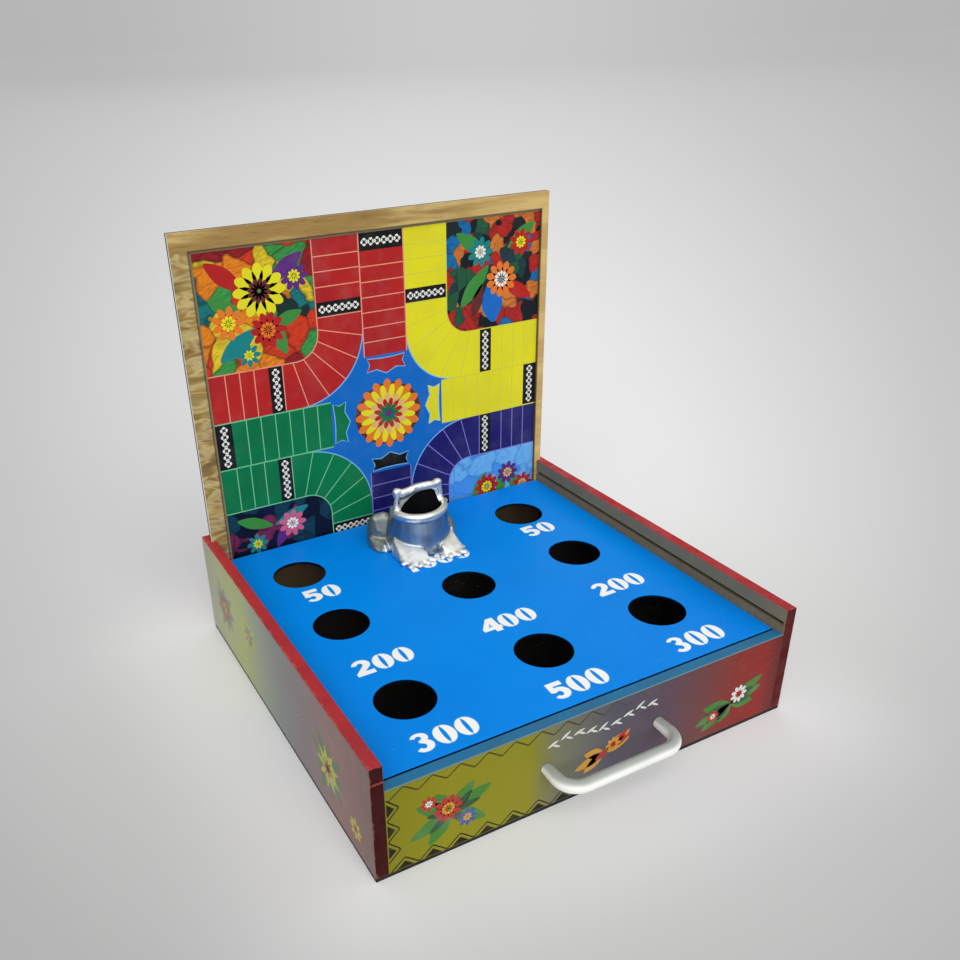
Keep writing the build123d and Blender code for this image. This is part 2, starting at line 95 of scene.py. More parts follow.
class Bench:
    """A node tree while it is wired up: a finish, a shared effect or a repeated piece."""

    def __init__(self, tree):
        self.tree = tree

    def add(self, kind, sockets=None, **settings):
        node = self.tree.nodes.new(kind)
        for key, value in settings.items():
            setattr(node, key, value)
        for key, value in (sockets or {}).items():
            self.feed(node.inputs[key], value)
        return node

    def feed(self, socket, value):
        if isinstance(value, bpy.types.NodeSocket):
            self.tree.links.new(value, socket)
        else:
            socket.default_value = value

    def sum(self, operation, a, b=0.0, c=0.0, clamp=False):
        node = self.add("ShaderNodeMath", {0: a, 1: b, 2: c}, operation=operation)
        node.use_clamp = clamp
        return node.outputs[0]

    def plus(self, a, b):
        return self.sum("ADD", a, b)

    def minus(self, a, b):
        return self.sum("SUBTRACT", a, b)

    def times(self, a, b):
        return self.sum("MULTIPLY", a, b)

    def most(self, a, b):
        return self.sum("MAXIMUM", a, b)

    def least(self, a, b):
        return self.sum("MINIMUM", a, b)

    def vector(self, operation, a, b=(0.0, 0.0, 0.0)):
        return self.add("ShaderNodeVectorMath", {0: a, 1: b}, operation=operation).outputs[0]

    def length(self, vector):
        return self.add("ShaderNodeVectorMath", {0: vector}, operation="LENGTH").outputs["Value"]

    def split(self, vector):
        return self.add("ShaderNodeSeparateXYZ", {0: vector}).outputs

    def join(self, x=0.0, y=0.0, z=0.0):
        return self.add("ShaderNodeCombineXYZ", {0: x, 1: y, 2: z}).outputs[0]

    def fade(self, value, start, end, low=0.0, high=1.0, soft=True):
        kind = "SMOOTHSTEP" if soft else "LINEAR"
        sockets = {"Value": value, "From Min": start, "From Max": end, "To Min": low, "To Max": high}
        return self.add("ShaderNodeMapRange", sockets, interpolation_type=kind).outputs[0]

    def blend(self, factor, a, b, kind="MIX"):
        sockets = {0: factor, 6: a, 7: b}
        return self.add("ShaderNodeMix", sockets, data_type="RGBA", blend_type=kind).outputs[2]

    def between(self, factor, a, b):
        return self.add("ShaderNodeMix", {0: factor, 2: a, 3: b}, data_type="FLOAT").outputs[0]

    def noise(self, vector, scale, detail=2.0, roughness=0.5, distortion=0.0):
        sockets = {"Vector": vector, "Scale": scale, "Detail": detail}
        sockets.update({"Roughness": roughness, "Distortion": distortion})
        return self.add("ShaderNodeTexNoise", sockets).outputs[0]

    def stretch(self, vector, scale, turn=(0.0, 0.0, 0.0), shift=(0.0, 0.0, 0.0)):
        sockets = {"Vector": vector, "Scale": scale, "Rotation": turn, "Location": shift}
        return self.add("ShaderNodeMapping", sockets).outputs[0]

    def ramp(self, value, stops, kind="LINEAR"):
        node = self.add("ShaderNodeValToRGB", {0: value})
        band = node.color_ramp
        band.interpolation = kind
        while len(band.elements) < len(stops):
            band.elements.new(0.5)
        for element, (place, colour) in zip(band.elements, stops):
            element.position = place
            element.color = colour
        return node.outputs[0]

    def shared(self, group, **values):
        """Places a shared effect and returns its outputs by name."""
        node = self.add("ShaderNodeGroup", node_tree=group)
        for key, value in values.items():
            self.feed(node.inputs[socket_name(key)], value)
        return {out.name: out for out in node.outputs}

    def give(self, **values):
        """Feeds a group's outputs and returns the finished group."""
        for key, value in values.items():
            self.feed(self.out[key], value)
        return self.tree

    def index(self):
        return self.add("GeometryNodeInputIndex").outputs[0]

    def row(self, count, step=(0.0, 0.0, 1.0), start=(0.0, 0.0, 0.0)):
        sockets = {"Count": count, "Start Location": start, "Offset": step}
        return self.add("GeometryNodeMeshLine", sockets, mode="OFFSET").outputs[0]

    def cube(self, x, y, z):
        return self.add("GeometryNodeMeshCube", {"Size": self.join(x, y, z)}).outputs[0]

    def copies(self, points, shape, **sockets):
        sockets = {"Points": points, "Instance": shape, **sockets}
        return self.add("GeometryNodeInstanceOnPoints", sockets).outputs[0]


def new_tree(name, kind, inputs, outputs):
    """An empty node group with named sockets: its bench and what it is given."""
    group = bpy.data.node_groups.new(name, kind)
    for way, sockets in (("INPUT", inputs), ("OUTPUT", outputs)):
        for label, form in sockets.items():
            group.interface.new_socket(name=label, in_out=way, socket_type="NodeSocket" + form)
    bench = Bench(group)
    fed = {s.name.lower().replace(" ", "_"): s for s in bench.add("NodeGroupInput").outputs if s.name}
    bench.out = bench.add("NodeGroupOutput").inputs
    return bench, SimpleNamespace(**fed)


def shared_effect(name, inputs, outputs):
    return new_tree(name, "ShaderNodeTree", inputs, outputs)


# Shared effects

SURFACE = {"Colour": "Color", "Roughness": "Float", "Height": "Float"}

def make_rubbed_edges():
    """Mask of paint rubbed thin along the edges of a board that fills the box Low to High."""
    inputs = {"Vector": "Vector", "Low": "Vector", "High": "Vector", "Reach": "Float", "Breakup": "Float"}
    bench, given = shared_effect("rubbed_edges", inputs, {"Mask": "Float"})
    near_low = bench.vector("SUBTRACT", given.vector, given.low)
    near_high = bench.vector("SUBTRACT", given.high, given.vector)
    x, y, z = bench.split(bench.vector("ABSOLUTE", bench.vector("MINIMUM", near_low, near_high)))
    low = bench.least(x, y)
    high = bench.most(x, y)
    middle = bench.most(low, bench.least(high, z))
    ragged = bench.noise(given.vector, given.breakup, 4.0, 0.65)
    reach = bench.times(given.reach, bench.fade(ragged, 0.42, 0.72))
    return bench.give(Mask=bench.fade(bench.minus(middle, reach), 0.0002, -0.0002))


def make_scuffs():
    """Mask of fine scratches and dust specks."""
    inputs = {"Vector": "Vector", "Scale": "Float", "Amount": "Float"}
    bench, given = shared_effect("scuffs_and_dust", inputs, {"Mask": "Float"})
    bent = bench.stretch(given.vector, (1.0, 7.0, 7.0), (0.0, 0.2, 0.9))
    lines = bench.noise(bent, given.scale, 3.0, 0.7, 0.6)
    thin = bench.fade(bench.sum("ABSOLUTE", bench.minus(lines, 0.5)), 0.012, 0.0)
    patch = bench.fade(bench.noise(given.vector, bench.times(given.scale, 0.25)), 0.5, 0.7)
    specks = bench.fade(bench.noise(given.vector, bench.times(given.scale, 9.0), 1.0), 0.74, 0.8)
    both = bench.most(bench.times(thin, patch), specks)
    return bench.give(Mask=bench.sum("MULTIPLY", both, given.amount, clamp=True))


def make_paint_coat():
    """Brushed or sprayed paint: broad drifts of tone, an orange peel and dull patches."""
    inputs = {"Vector": "Vector", "Colour": "Color", "Drift": "Color", "Patch": "Float", "Peel": "Float"}
    bench, given = shared_effect("paint_coat", inputs, SURFACE)
    cloud = bench.noise(given.vector, given.patch, 3.0, 0.55)
    tone = bench.blend(bench.fade(cloud, 0.35, 0.75), given.colour, given.drift)
    dull = bench.fade(bench.noise(given.vector, bench.times(given.patch, 3.0)), 0.3, 0.75)
    return bench.give(Colour=tone, Roughness=dull, Height=bench.noise(given.vector, given.peel))


def make_pressed_fibre():
    """Fibreboard or hardboard: short matted fibres, flecks and soft stains."""
    inputs = {"Vector": "Vector", "Colour": "Color", "Fleck": "Color", "Amount": "Float"}
    bench, given = shared_effect("pressed_fibre", inputs, {"Colour": "Color", "Height": "Float"})
    matted = bench.noise(bench.stretch(given.vector, (1.0, 0.45, 1.0), (0.3, 0.1, 0.7)), 900.0, 4.0, 0.7, 1.2)
    stain = bench.noise(given.vector, 22.0, 3.0, 0.6)
    tone = bench.blend(bench.fade(stain, 0.3, 0.8, 0.0, 0.5), given.colour, given.fleck)
    grains = bench.times(bench.fade(matted, 0.45, 0.7), given.amount)
    return bench.give(Colour=bench.blend(grains, tone, given.fleck), Height=matted)


def make_wood_figure():
    """Knotty veneer: wavy bands across a stretched grain, fine pores and pale flames."""
    inputs = {
        "Vector": "Vector", "Pale": "Color", "Honey": "Color", "Dark": "Color", "Bands": "Float",
        "Knots": "Float",
    }
    bench, given = shared_effect("wood_figure", inputs, SURFACE)
    sway = bench.noise(bench.stretch(given.vector, (14.0, 14.0, 40.0)), 1.0, 2.0, 0.5)
    x, y, z = bench.split(given.vector)
    drifted = bench.plus(z, bench.times(sway, 0.012))
    grain_place = bench.join(bench.times(x, 0.12), y, drifted)
    bands = bench.noise(grain_place, given.bands, 2.0, 0.55, 0.4)
    honey = bench.blend(bench.fade(bands, 0.4, 0.6), given.pale, given.honey)
    flames = bench.fade(bench.noise(grain_place, bench.times(given.bands, 1.9), 1.0), 0.6, 0.72)
    dark = bench.blend(bench.times(flames, given.knots), honey, given.dark)
    pores = bench.noise(bench.stretch(given.vector, (60.0, 900.0, 900.0)), 1.0, 3.0, 0.6)
    fine = bench.blend(bench.fade(pores, 0.45, 0.72, 0.0, 0.5), dark, given.dark)
    return bench.give(Colour=fine, Roughness=pores, Height=pores)


def make_printed_ink():
    """Screen or film ink: faint dots, mottle and a little fading."""
    inputs = {"Vector": "Vector", "Colour": "Color", "Fade": "Float"}
    bench, given = shared_effect("printed_ink", inputs, SURFACE)
    mottle = bench.noise(given.vector, 60.0, 4.0, 0.6)
    dots = bench.add("ShaderNodeTexVoronoi", {"Vector": given.vector, "Scale": 1600.0}).outputs["Distance"]
    pale = bench.times(bench.fade(mottle, 0.4, 0.85), given.fade)
    screen = bench.times(bench.fade(dots, 0.25, 0.6), 0.06)
    washed = bench.blend(pale, given.colour, (0.4, 0.4, 0.39, 1.0))
    tone = bench.blend(screen, washed, (0.02, 0.02, 0.02, 1.0))
    return bench.give(Colour=tone, Roughness=mottle, Height=bench.noise(given.vector, 240.0))


def make_painted_facets():
    """Brushed facets for the corner prints: one even tone a facet, neighbours alike, darker seams."""
    inputs = {"Vector": "Vector", "Scale": "Float", "Warp": "Float", "Spread": "Float"}
    outputs = {"Tone": "Float", "Seam": "Float", "Brush": "Float"}
    bench, given = shared_effect("painted_facets", inputs, outputs)
    swirl = bench.add("ShaderNodeTexNoise", {"Vector": given.vector, "Scale": bench.times(given.scale, 0.6)})
    pushed = {0: swirl.outputs["Color"], "Scale": given.warp}
    push = bench.add("ShaderNodeVectorMath", pushed, operation="SCALE")
    bent = bench.vector("ADD", given.vector, push.outputs[0])
    grid = {"Vector": bent, "Scale": given.scale}
    cells = bench.add("ShaderNodeTexVoronoi", grid)
    seams = bench.add("ShaderNodeTexVoronoi", grid, feature="DISTANCE_TO_EDGE")
    flock = bench.noise(cells.outputs["Position"], given.spread, 1.0)
    lone = bench.split(cells.outputs["Color"])[0]
    tone = bench.plus(bench.fade(flock, 0.25, 0.75, 0.0, 0.8, False), bench.times(lone, 0.22))
    strokes = bench.noise(bench.stretch(bent, (1.0, 1.0, 4.0), (0.0, 0.7, 0.0)), 160.0, 3.0, 0.6)
    return bench.give(Tone=tone, Seam=bench.fade(seams.outputs[0], 0.07, 0.0), Brush=strokes)


def make_cast_skin():
    """Sand-cast metal: shallow dimples, duller hollows and a bright rubbed tone."""
    inputs = {"Vector": "Vector", "Bright": "Color", "Dull": "Color", "Grit": "Float"}
    bench, given = shared_effect("cast_skin", inputs, SURFACE)
    lumps = bench.noise(given.vector, 95.0, 3.0, 0.55)
    grit = bench.noise(given.vector, given.grit, 3.0, 0.7)
    tone = bench.blend(bench.fade(lumps, 0.35, 0.7), given.bright, given.dull)
    dull = bench.fade(bench.plus(lumps, bench.times(grit, 0.4)), 0.45, 0.9)
    return bench.give(Colour=tone, Roughness=dull, Height=bench.plus(lumps, bench.times(grit, 0.25)))


rubbed_edges = make_rubbed_edges()
scuffs_and_dust = make_scuffs()
paint_coat = make_paint_coat()
pressed_fibre = make_pressed_fibre()
wood_figure = make_wood_figure()
printed_ink = make_printed_ink()
painted_facets = make_painted_facets()
cast_skin = make_cast_skin()


# Finishes


class Finish(Bench):
    """A material with its Principled shader and Object coordinates ready to wire."""

    def __init__(self, name, **constants):
        self.material = bpy.data.materials.new(name)
        self.material.use_nodes = True
        super().__init__(self.material.node_tree)
        self.tree.nodes.clear()
        out = self.add("ShaderNodeOutputMaterial")
        self.skin = self.add("ShaderNodeBsdfPrincipled")
        for key, value in constants.items():
            self.skin.inputs[key.replace("_", " ")].default_value = value
        self.tree.links.new(self.skin.outputs[0], out.inputs[0])
        self.where = self.add("ShaderNodeTexCoord").outputs["Object"]

    def effect(self, group, **values):
        """A shared effect at the piece's own coordinates."""
        return self.shared(group, vector=self.where, **values)

    def colour(self, value):
        self.feed(self.skin.inputs["Base Color"], value)

    def stain(self, mask, under, *tone):
        """Lays one tone over another where the mask is white."""
        return self.blend(mask, under, shade(*tone))

    def paint(self, colour, drift, patch, peel):
        return self.effect(paint_coat, colour=shade(*colour), drift=shade(*drift), patch=patch, peel=peel)

    def fibre(self, colour, fleck, amount):
        return self.effect(pressed_fibre, colour=shade(*colour), fleck=shade(*fleck), amount=amount)

    def metal(self, bright, dull, grit):
        return self.effect(cast_skin, bright=shade(*bright), dull=shade(*dull), grit=grit)

    def scuffs(self, scale, amount):
        return self.effect(scuffs_and_dust, scale=scale, amount=amount)["Mask"]

    def worn_edges(self, low, high, reach, breakup):
        return self.effect(rubbed_edges, low=low, high=high, reach=reach, breakup=breakup)["Mask"]

    def roughness(self, value, low, high):
        self.feed(self.skin.inputs["Roughness"], self.fade(value, 0.0, 1.0, low, high, False))

    def relief(self, height, distance, strength):
        """The last step of a finish: a bump, after which the material is done."""
        sockets = {"Height": height, "Distance": distance, "Strength": strength}
        self.feed(self.skin.inputs["Normal"], self.add("ShaderNodeBump", sockets).outputs[0])
        return self.material


def box_of(*nodes):
    """Lowest and highest corners that several CAD nodes fill together."""
    corners = [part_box(node) for node in nodes]
    low = Vector([min(c[0][i] for c in corners) for i in range(3)])
    high = Vector([max(c[1][i] for c in corners) for i in range(3)])
    return low, high


def make_deck_paint():
    low, high = box_of("throw_board")
    f = Finish("deck_gloss_paint", IOR=1.48, Specular_IOR_Level=0.06)
    coat = f.paint((0, 138, 238), (0, 131, 231), 9.0, 420.0)
    worn = f.worn_edges(low, high, 0.0011, 120.0)
    marks = f.scuffs(26.0, 0.1)
    z = f.split(f.where)[2]
    # Painted shade: more than about 1 mm below its top face the board is coloured dark navy, for the shade in
    # the holes and in the gap along its front edge
    under = f.fade(z, high.z - 0.0005, high.z - 0.0009)
    painted = f.stain(f.times(worn, 0.25), coat["Colour"], 40, 70, 96)
    painted = f.stain(marks, painted, 130, 190, 240)
    f.colour(f.stain(under, painted, 10, 16, 28))
    f.roughness(coat["Roughness"], 0.3, 0.42)
    return f.relief(coat["Height"], 0.00006, 0.5)


def make_side_panel_finish():
    low, high = box_of("left_side_panel", "right_side_panel")
    groove_level, inner_face, bed = GROOVE_LEVEL * MM, INNER_FACE * MM, GROOVE_BED * MM
    f = Finish("red_edge_panel", IOR=1.47, Specular_IOR_Level=0.14)
    x, y, z = f.split(f.where)
    reach = f.sum("ABSOLUTE", x)
    behind_end = f.fade(y, low.y + 0.0004, low.y + 0.0008)
    slot_height = f.times(f.sum("COMPARE", z, groove_level, 0.0019), behind_end)
    in_groove = f.times(slot_height, f.fade(reach, bed + 0.0015, bed + 0.0005))
    inside = f.most(f.fade(reach, inner_face + 0.00012, inner_face + 0.00004), in_groove)
    coat = f.paint((174, 48, 52), (154, 42, 48), 30.0, 600.0)
    # Painted shade: the front ends are darkened to deep maroon, their maroon end paint with painted shade
    # that is deeper on the left end than on the right
    front_end = f.fade(y, low.y + 0.0003, low.y + 0.0001)
    end_shade_share = f.fade(x, -0.1, 0.1, 0.97, 0.84)
    darker = f.stain(f.times(front_end, end_shade_share), coat["Colour"], 48, 3, 5)
    at_groove = f.times(front_end, f.sum("COMPARE", z, groove_level, 0.0008))
    rubbed = f.times(at_groove, f.fade(x, 0.0, -0.01))
    patchy = f.fade(f.noise(f.where, 700.0), 0.35, 0.6, 0.2, 0.8)
    darker = f.stain(f.times(rubbed, patchy), darker, 176, 84, 80)
    band = f.fade(z, groove_level - 0.0003, groove_level + 0.0003)
    fibre = f.fibre((134, 122, 98), (100, 88, 66), 0.5)
    grey = f.fibre((136, 128, 106), (106, 100, 84), 0.35)
    walls = f.blend(band, fibre["Colour"], grey["Colour"])
    # Painted shade: below the deck the inner faces are coloured near black, for the shade inside the box
    walls = f.stain(f.fade(z, DECK_TOP * MM - 0.002, DECK_TOP * MM - 0.003), walls, 30, 26, 22)
    # Painted shade: the groove's bed and its mouth on the right panel's front end are coloured near black,
    # for the shade inside the narrow groove
    groove_mouth_shade = f.times(at_groove, f.fade(x, inner_face + 0.0016, inner_face + 0.001))
    groove_mouth_shade = f.times(groove_mouth_shade, f.fade(x, 0.0, 0.01))
    groove = f.most(groove_mouth_shade, f.times(in_groove, f.fade(reach, bed - 0.0022, bed - 0.0012)))
    chips = f.worn_edges(low, high, 0.0016, 210.0)
    marks = f.scuffs(60.0, 0.35)
    outer = f.stain(f.times(chips, 0.25), darker, 206, 122, 112)
    outer = f.stain(f.between(front_end, marks, 0.0), outer, 214, 120, 110)
    shown = f.blend(inside, outer, walls)
    f.colour(f.stain(groove, shown, 14, 13, 12))
    f.roughness(f.between(inside, coat["Roughness"], 1.0), 0.34, 0.85)
    return f.relief(f.between(inside, coat["Height"], fibre["Height"]), 0.00012, 0.5)


def make_front_panel_finish():
    low, high = box_of("front_panel")
    f = Finish("teal_edge_panel", IOR=1.46, Specular_IOR_Level=0.14)
    _, y, z = f.split(f.where)
    coat = f.paint((34, 112, 156), (50, 104, 140), 26.0, 520.0)
    fibre = f.fibre((128, 112, 84), (92, 78, 56), 0.5)
    top = f.fade(z, high.z - 0.0006, high.z - 0.0003)
    marks = f.scuffs(70.0, 0.5)
    pale_rim = f.fade(y, low.y + 0.0011, low.y + 0.0006)
    painted = f.stain(marks, coat["Colour"], 120, 170, 190)
    painted = f.stain(f.times(pale_rim, 0.35), painted, 150, 158, 120)
    f.colour(f.blend(top, fibre["Colour"], painted))
    f.roughness(coat["Roughness"], 0.38, 0.6)
    return f.relief(f.between(top, fibre["Height"], coat["Height"]), 0.00012, 0.5)


def make_fibreboard(name, colour, fleck):
    f = Finish(name, IOR=1.45, Roughness=0.8)
    fibre = f.fibre(colour, fleck, 0.55)
    marks = f.scuffs(40.0, 0.25)
    f.colour(f.stain(marks, fibre["Colour"], 170, 160, 145))
    f.roughness(fibre["Height"], 0.7, 0.92)
    return f.relief(fibre["Height"], 0.00015, 0.6)


def make_frame_veneer():
    low, high = box_of("lid_frame")
    low_print, high_print = box_of("board_print")
    f = Finish("knotty_frame_veneer", IOR=1.48, Coat_Weight=0.15, Coat_Roughness=0.3)
    x, _, z = f.split(f.where)
    below = f.fade(z, high_print.z + 0.0004, high_print.z - 0.0004)
    left = f.times(below, f.fade(x, low_print.x + 0.001, low_print.x - 0.001))
    knots = f.between(left, 0.22, 0.95)
    tones = {"pale": shade(200, 172, 104), "honey": shade(160, 126, 64), "dark": shade(98, 78, 36)}
    wood = f.effect(wood_figure, bands=70.0, knots=knots, **tones)
    olive = f.blend(f.times(left, 0.75), wood["Colour"], shade(206, 204, 158), "MULTIPLY")
    sway = f.noise(f.stretch(f.where, (32.0, 1.0, 95.0), (0.0, 0.35, 0.0)), 1.0, 2.0, 0.6, 0.7)
    bands = ((0.36, (104, 78, 36)), (0.46, (160, 128, 66)), (0.54, (208, 190, 134)), (0.64, (140, 108, 52)))
    figure = f.ramp(sway, [(place, shade(*tone)) for place, tone in bands])
    olive = f.blend(f.times(left, 0.6), olive, figure)
    right = f.fade(x, 0.02, high.x, 0.0, 0.45)
    olive = f.stain(right, olive, 228, 192, 120)
    edge = f.most(f.fade(x, low.x + 0.0002, low.x), f.fade(x, high.x - 0.0002, high.x))
    hole_x = f.least(f.minus(x, low_print.x), f.minus(high_print.x, x))
    hole_z = f.least(f.minus(z, low_print.z), f.minus(high_print.z, z))
    # The frame's inner edge round the window is darkened brown: a stained routed edge with painted shade from
    # the recess over the print
    lip = f.fade(f.least(hole_x, hole_z), -0.0016, -0.0004)
    lip_stain_and_shade = f.stain(f.times(lip, 0.85), olive, 52, 38, 20)
    f.colour(f.stain(edge, lip_stain_and_shade, 226, 224, 214))
    f.roughness(wood["Roughness"], 0.36, 0.6)
    return f.relief(wood["Height"], 0.0001, 0.5)


def make_backing_finish():
    low, high = box_of("lid_backing")
    f = Finish("lid_backing_board", IOR=1.45)
    x = f.split(f.where)[0]
    fibre = f.fibre((96, 76, 54), (66, 50, 34), 0.6)
    near_edge = f.least(f.minus(x, low.x), f.minus(high.x, x))
    edge = f.fade(near_edge, 0.0002, 0.00005)
    f.colour(f.stain(edge, fibre["Colour"], 42, 46, 56))
    f.roughness(fibre["Height"], 0.6, 0.9)
    return f.relief(fibre["Height"], 0.00015, 0.6)


PRINT_GLOSS = 0.22


def make_ink(name, colour, fade, low=0.3, high=0.42, drift=None):
    """One printing ink: an even colour with its own fading, or one that drifts into another."""
    f = Finish(name, IOR=1.46, Specular_IOR_Level=PRINT_GLOSS)
    tone = shade(*colour)
    if drift:
        cloud = f.noise(f.where, 24.0)
        tone = f.stain(f.fade(cloud, 0.35, 0.7), tone, *drift)
    print_tone = f.effect(printed_ink, colour=tone, fade=fade)
    f.colour(print_tone["Colour"])
    f.roughness(print_tone["Roughness"], low, high)
    return f.relief(print_tone["Height"], 0.00002, 0.4)


def make_facet_print(name, scale, warp, spread, shift, tones, seam):
    """A corner print: generic brushed facets in its own run of colours."""
    f = Finish(name, IOR=1.46, Specular_IOR_Level=PRINT_GLOSS)
    place = f.stretch(f.where, (1.0, 1.0, 1.0), (0.0, 0.35, 0.0), shift)
    facets = f.shared(painted_facets, vector=place, scale=scale, warp=warp, spread=spread)
    steps = [(i / len(tones), shade(*tone)) for i, tone in enumerate(tones)]
    flat = f.ramp(facets["Tone"], steps, "CONSTANT")
    brushed = f.stain(f.fade(facets["Brush"], 0.35, 0.75, 0.0, 0.45), flat, *seam)
    f.colour(f.stain(f.times(facets["Seam"], 0.55), brushed, *seam))
    f.roughness(facets["Brush"], 0.3, 0.44)
    return f.relief(facets["Brush"], 0.00003, 0.4)


def film_tone(f, axis, stops, fade):
    """The film's colour along its length: stops are (place in mm, colour)."""
    first, last = stops[0][0], stops[-1][0]
    share = f.fade(f.split(f.where)[axis], first * MM, last * MM, soft=False)
    steps = [((place - first) / (last - first), shade(*colour)) for place, colour in stops]
    return f.effect(printed_ink, colour=f.ramp(share, steps), fade=fade)


# Colours of the films along their length, as place in mm and tone
FRONT_RUN = [
    (-166, (124, 121, 4)), (-125, (136, 132, 10)), (-60, (134, 131, 22)), (-38, (116, 116, 92)),
    (8, (84, 82, 96)), (52, (84, 68, 82)), (92, (106, 56, 56)), (125, (130, 34, 24)),
    (150, (136, 27, 18)), (166, (92, 24, 22)),
]
LEFT_RUN = [
    (-170, (106, 76, 72)), (-145, (126, 84, 80)), (-110, (134, 94, 90)), (-55, (114, 100, 104)),
    (-10, (112, 116, 118)), (35, (132, 144, 118)), (75, (160, 168, 84)), (125, (160, 166, 108)),
    (170, (148, 152, 122)),
]


FILM_GLOSS = {"IOR": 1.5, "Specular_IOR_Level": 0.14, "Coat_Weight": 0.1, "Coat_Roughness": 0.12}


def make_film(name, axis, run, fade):
    f = Finish(name, **FILM_GLOSS)
    ink = film_tone(f, axis, run, fade)
    marks = f.scuffs(34.0, 0.1)
    f.colour(f.stain(marks, ink["Colour"], 196, 194, 186))
    f.roughness(ink["Roughness"], 0.22, 0.4)
    return f.relief(f.noise(f.where, 70.0, 2.0), 0.0001, 0.35)


def make_film_ink(name, axis, run, colour, holds, fades):
    """Ink on a film that sinks into the film's own colour between two places along it."""
    f = Finish(name, **FILM_GLOSS)
    ink = film_tone(f, axis, run, 0.06)
    along = f.split(f.where)[axis]
    gone = f.fade(along, holds * MM, fades * MM)
    patchy = f.fade(f.noise(f.where, 120.0, 3.0, 0.6), 0.45, 0.8, 0.0, 0.2)
    lost = f.most(gone, patchy)
    f.colour(f.blend(lost, shade(*colour), ink["Colour"]))
    f.roughness(ink["Roughness"], 0.22, 0.4)
    return f.material


def make_handle_plastic():
    f = Finish("handle_white_plastic", IOR=1.5, Subsurface_Weight=0.03, Subsurface_Scale=0.002)
    coat = f.paint((242, 243, 238), (232, 233, 228), 30.0, 700.0)
    marks = f.scuffs(90.0, 0.35)
    # Painted shade: faces that point up are coloured a darker grey, as the grip's upper side lies in shade
    facing_up = f.split(f.add("ShaderNodeNewGeometry").outputs["Normal"])[2]
    top_painted_shade = f.stain(f.fade(facing_up, 0.35, 0.95, 0.0, 0.9), coat["Colour"], 150, 156, 150)
    f.colour(f.stain(marks, top_painted_shade, 188, 184, 172))
    f.roughness(coat["Roughness"], 0.3, 0.45)
    return f.relief(coat["Height"], 0.00005, 0.4)


def make_zinc():
    f = Finish("zinc_plated_screw", Metallic=1.0, IOR=1.5)
    skin = f.metal((196, 198, 196), (142, 146, 140), 2400.0)
    f.colour(skin["Colour"])
    f.roughness(skin["Roughness"], 0.25, 0.45)
    return f.relief(skin["Height"], 0.00003, 0.4)


RUBBED_WALL = "rubbed_wall"


def make_casting_metal():
    f = Finish("bright_cast_metal", Metallic=1.0, IOR=1.5)
    skin = f.metal((240, 242, 242), (204, 208, 204), 900.0)
    wall = f.add("ShaderNodeAttribute", attribute_name=RUBBED_WALL).outputs["Fac"]
    _, y, z = f.split(f.where)
    haunch = f.times(f.fade(y, 0.0950, 0.0980), f.fade(z, 0.1050, 0.1010))
    unrubbed = f.stain(f.times(haunch, 0.85), skin["Colour"], 112, 120, 108)
    sweep_marks = f.noise(f.stretch(f.where, (1.0, 1.0, 5.0)), 46.0, 2.0, 0.5)
    # The rubbed wall's bluish grey is polished metal with a painted reflection of the blue deck
    wall_tone = f.blend(sweep_marks, shade(162, 174, 182), shade(146, 158, 170))
    f.colour(f.blend(wall, unrubbed, wall_tone))
    coarse = f.fade(skin["Roughness"], 0.0, 1.0, 0.26, 0.52, False)
    dull = f.between(haunch, coarse, 0.56)
    polished = f.fade(sweep_marks, 0.3, 0.7, 0.3, 0.34)
    f.feed(f.skin.inputs["Roughness"], f.between(wall, dull, polished))
    return f.relief(f.between(wall, skin["Height"], 0.5), 0.0006, 0.6)


def make_throat_finish():
    # Painted shade: the throat is coloured near black, for the shade deep in the mouth
    f = Finish("blackened_throat", Metallic=0.4, IOR=1.4)
    skin = f.metal((20, 24, 28), (8, 11, 14), 1200.0)
    f.colour(skin["Colour"])
    f.roughness(skin["Roughness"], 0.6, 0.9)
    return f.relief(skin["Height"], 0.0004, 0.6)


def dress(material, *nodes):
    """Gives CAD nodes their finish."""
    for node in nodes:
        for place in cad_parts[node].material_slots:
            place.material = material


dress(make_deck_paint(), "throw_board")
side_panel_finish = make_side_panel_finish()
dress(side_panel_finish, "left_side_panel", "right_side_panel")
dress(make_front_panel_finish(), "front_panel")
dress(make_fibreboard("plain_fibreboard", (128, 108, 78), (88, 70, 46)), "rear_partition")
# Painted shade: the cleats under the deck are coloured near black, and the dark hardboard of the bottom and
# dividers darker still, so the gap and holes show the shade under the deck
cleat_painted_shade = make_fibreboard("stained_fibreboard", (40, 34, 28), (24, 20, 17))
dress(cleat_painted_shade, "left_board_cleat", "right_board_cleat", "front_board_cleat")
interior_hardboard_and_shade = make_fibreboard("dark_hardboard", (26, 21, 18), (14, 12, 10))
dress(interior_hardboard_and_shade, "bottom_panel", "front_long_divider", "rear_long_divider")
dress(interior_hardboard_and_shade, "left_cross_divider", "right_cross_divider")
dress(make_fibreboard("red_back_board", (150, 32, 34), (116, 24, 26)), "back_panel")
dress(make_frame_veneer(), "lid_frame")
dress(make_backing_finish(), "lid_backing")
dress(make_ink("print_ground", (150, 132, 96), 0.05), "board_print")
dress(make_handle_plastic(), "carry_handle")
dress(make_zinc(), "handle_screws", "base_screws")


# Flat printed shapes


def sweep(cx, cy, rx, ry, start, end, steps=24):
    """Points along an ellipse from one angle to another, in degrees."""
    turns = [math.radians(start + (end - start) * i / steps) for i in range(steps + 1)]
    return [(cx + rx * math.cos(t), cy + ry * math.sin(t)) for t in turns]


